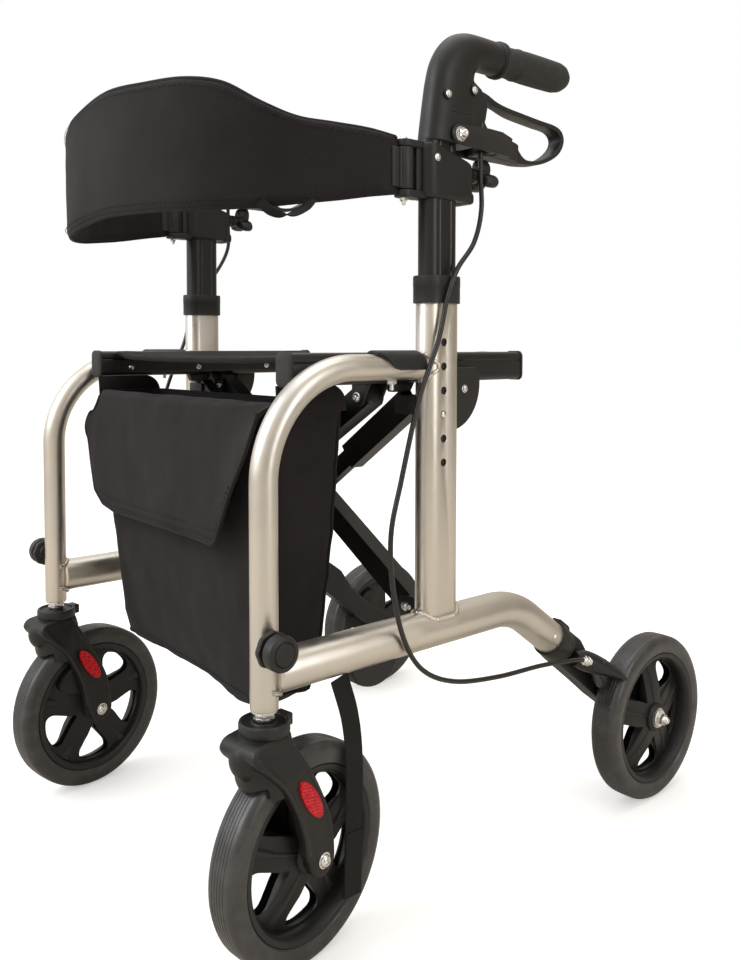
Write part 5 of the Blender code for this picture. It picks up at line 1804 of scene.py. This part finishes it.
def add_handles():
    add_pairs("handle", (
        ("handle_tube", handle_post(), "dark_aluminium", "handle_post", {}),
        ("gooseneck", brake_housing(), "black_plastic", "brake_housing", {"sharp": 50}),
        ("handle_fasteners", handle_fasteners(), "bright_steel", None, {}),
        ("grip_sleeve", grip(), "soft_grip", "grip", {})))
    add_pair("snap_button", height_button(), "bright_steel", "button", "height_button")
    add_pair("lever_loop", brake_lever(), "black_plastic", "lever", "brake_lever")
    add_pair("clamp_shell", backrest_clamp(), "black_plastic", "clamp", "backrest_clamp",
             sharp=50)
    add_pair("clamp_fasteners", clamp_fasteners(), "bright_steel", "clamp")
    add_pair("wing_knob", clamp_knob(), "black_plastic", "knob", "clamp_knob")


def add_cables():
    """Cables on both sides, baked in place and carried by no body."""
    shape = brake_cable()
    for side, suffix in SIDES:
        cable = add("cable" + suffix, reflected(shape, side), "cable_sheath", None,
                    ["brake_cable" + suffix])
        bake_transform(cable)
    bpy.data.objects.remove(shape)


def add_cross_brace():
    for side, suffix in SIDES:
        keep_cad_node("cross_arm" + suffix, "dark_aluminium")
        keep_cad_node("stay_sleeve" + suffix, "dark_aluminium", 0.0009)
        keep_cad_node("stay_rod" + suffix, "dark_aluminium", 0.0007)
        other = dict(SIDES)[-side]
        add("arm_plugs" + suffix, arm_plugs(side), "black_plastic", "arm" + suffix)
        add("lower_pivot_screws" + suffix, pivot_screws(side, False), "bright_steel",
            "frame" + suffix)
        add("rail_pivot_screws" + other, pivot_screws(side, True), "bright_steel",
            "rail" + other)
        add("seat_rail_tube" + suffix, turned_over(seat_rail(-side), side), "dark_aluminium",
            "rail" + suffix, ["seat_rail" + suffix])
    keep_cad_node("cross_pivot_bolt", "bright_steel", 0.0006)
    add_pair("rail_caps", rail_caps(), "soft_grip", "rail")
    add_pair("rail_screws", rail_screws(), "bright_steel", "rail")
    add_pair("rail_receiver", rail_receiver(), "black_plastic", "rail")


def add_soft_goods():
    """Fabric pieces: the bag and the sling ride on bodies of the right-hand side."""
    bag = [add("bag_body", bag_body(), "charcoal_fabric", "frame_right", ["bag"], 60),
           add("bag_flap", bag_flap(), "charcoal_fabric", "frame_right", (), 60),
           add("flap_thread", flap_stitches(), "webbing", "frame_right"),
           add("hem_thread", hem_stitches(), "webbing", "frame_right"),
           add("bag_gussets", bag_gussets(), "charcoal_fabric", "frame_right")]
    sheet, thread = seat_sling()
    sling = [add("sling_fabric", sheet, "charcoal_fabric", "rail_right", ["seat_sling"], 60),
             add("sling_thread", thread, "webbing", "rail_right")]
    for pieces, half in ((bag, BAG_HALF), (sling, SLING_HALF)):
        for piece in pieces:
            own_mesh(piece)
    band = add("backrest_pad", backrest_band(), "charcoal_fabric", None,
               ["backrest_left", "backrest_right"], 60)
    seams = add("backrest_thread", band_stitches(), "webbing", None)
    for piece in (band, seams):
        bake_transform(piece)
    add("backrest_loop", band_loop(), "webbing", "backrest_left")
    add_pair("backrest_hinge", backrest_hinge(), "black_plastic", "backrest")
    add("hanging_strap", fold_strap(), "webbing", "frame_left", ["fold_strap"])


# ---------------------------------------------------------------- stage

def add_floor():
    """Wide white floor that fades into the surroundings, and throws back a warmer light."""
    reach = 60
    floor = grid([[Vector((x, y, 0)) for x in (-reach, reach)] for y in (-reach, reach)])
    floor.name = "floor"
    shader = Shader("pale_floor", (0.80, 0.80, 0.80), 0.8, Specular_IOR_Level=0.1,
                    Emission_Color=(1, 1, 1, 1))
    seen = shader.node("ShaderNodeLightPath").outputs["Is Camera Ray"]
    shader.tree.links.new(shader.math("MULTIPLY", seen, 0.42),
                          shader.surface.inputs["Emission Strength"])
    shader.vary("Base Color", seen, (0.62, 0.575, 0.51), (0.80, 0.80, 0.80))
    floor.data.materials.append(shader.material)
    face_towards(floor, AXES["Z"])


def add_light(name, size, energy, location, target):
    light = bpy.data.lights.new(name, "AREA")
    light.shape = "RECTANGLE"
    light.size, light.size_y = size
    light.energy = energy
    obj = bpy.data.objects.new(name, light)
    obj.location = location
    direction = Vector(target) - Vector(location)
    obj.rotation_mode = "QUATERNION"
    obj.rotation_quaternion = direction.to_track_quat("-Z", "Y")
    bpy.context.scene.collection.objects.link(obj)


def add_world():
    """White behind the object; for its reflections, a room that is brighter to the left."""
    world = bpy.data.worlds.new("studio")
    bpy.context.scene.world = world
    world.use_nodes = True
    nodes, links = world.node_tree.nodes, world.node_tree.links
    nodes["Background"].inputs["Color"].default_value = (1, 1, 1, 1)
    place_in_room, path = nodes.new("ShaderNodeTexCoord"), nodes.new("ShaderNodeLightPath")
    facing = nodes.new("ShaderNodeVectorMath")
    facing.operation = "DOT_PRODUCT"
    facing.inputs[1].default_value = (-0.62, -0.55, 0.56)
    to_unit = nodes.new("ShaderNodeMath")
    to_unit.operation = "MULTIPLY_ADD"
    to_unit.inputs[1].default_value = to_unit.inputs[2].default_value = 0.5
    ramp = nodes.new("ShaderNodeValToRGB")
    stops = ramp.color_ramp.elements
    stops[0].color = (0.15, 0.12, 0.085, 1)
    stops[1].color = (1.0, 1.0, 1.0, 1)
    stops.new(0.5).color = (0.56, 0.50, 0.42, 1)
    room = nodes.new("ShaderNodeBackground")
    room.inputs["Strength"].default_value = 1.2
    mix = nodes.new("ShaderNodeMixShader")
    for output, socket in ((place_in_room.outputs["Generated"], facing.inputs[0]),
                           (facing.outputs["Value"], to_unit.inputs[0]),
                           (to_unit.outputs[0], ramp.inputs[0]),
                           (ramp.outputs["Color"], room.inputs["Color"]),
                           (path.outputs["Is Camera Ray"], mix.inputs[0]),
                           (room.outputs[0], mix.inputs[1]),
                           (nodes["Background"].outputs[0], mix.inputs[2]),
                           (mix.outputs[0], nodes["World Output"].inputs["Surface"])):
        links.new(output, socket)


def add_camera():
    camera = bpy.data.cameras.new("camera")
    camera.lens = 34.32
    camera.sensor_width = 36
    camera.shift_x = 0.0285
    camera.shift_y = -0.0984
    camera.clip_start = 0.02
    obj = bpy.data.objects.new("camera", camera)
    obj.location = (0.8689, -0.6666 + POST_Y, 0.5589)
    obj.rotation_euler = (radians(90 - 2.445), 0, radians(49.87))
    bpy.context.scene.collection.objects.link(obj)
    bpy.context.scene.camera = obj


add_frame()
add_wheels()
add_handles()
add_cables()
add_cross_brace()
add_soft_goods()

add_floor()
add_world()
add_light("key", (1.8, 1.8), 42, (-0.6, -2.4, 2.0), (0, 0, 0.45))
add_light("side", (0.8, 1.8), 14, (2.3, 0.3, 1.2), (0.2, 0, 0.4))
add_light("top", (2.0, 2.0), 22, (0.0, 0.2, 2.8), (0, 0, 0.3))
add_camera()
bpy.context.scene.view_settings.view_transform = "Standard"
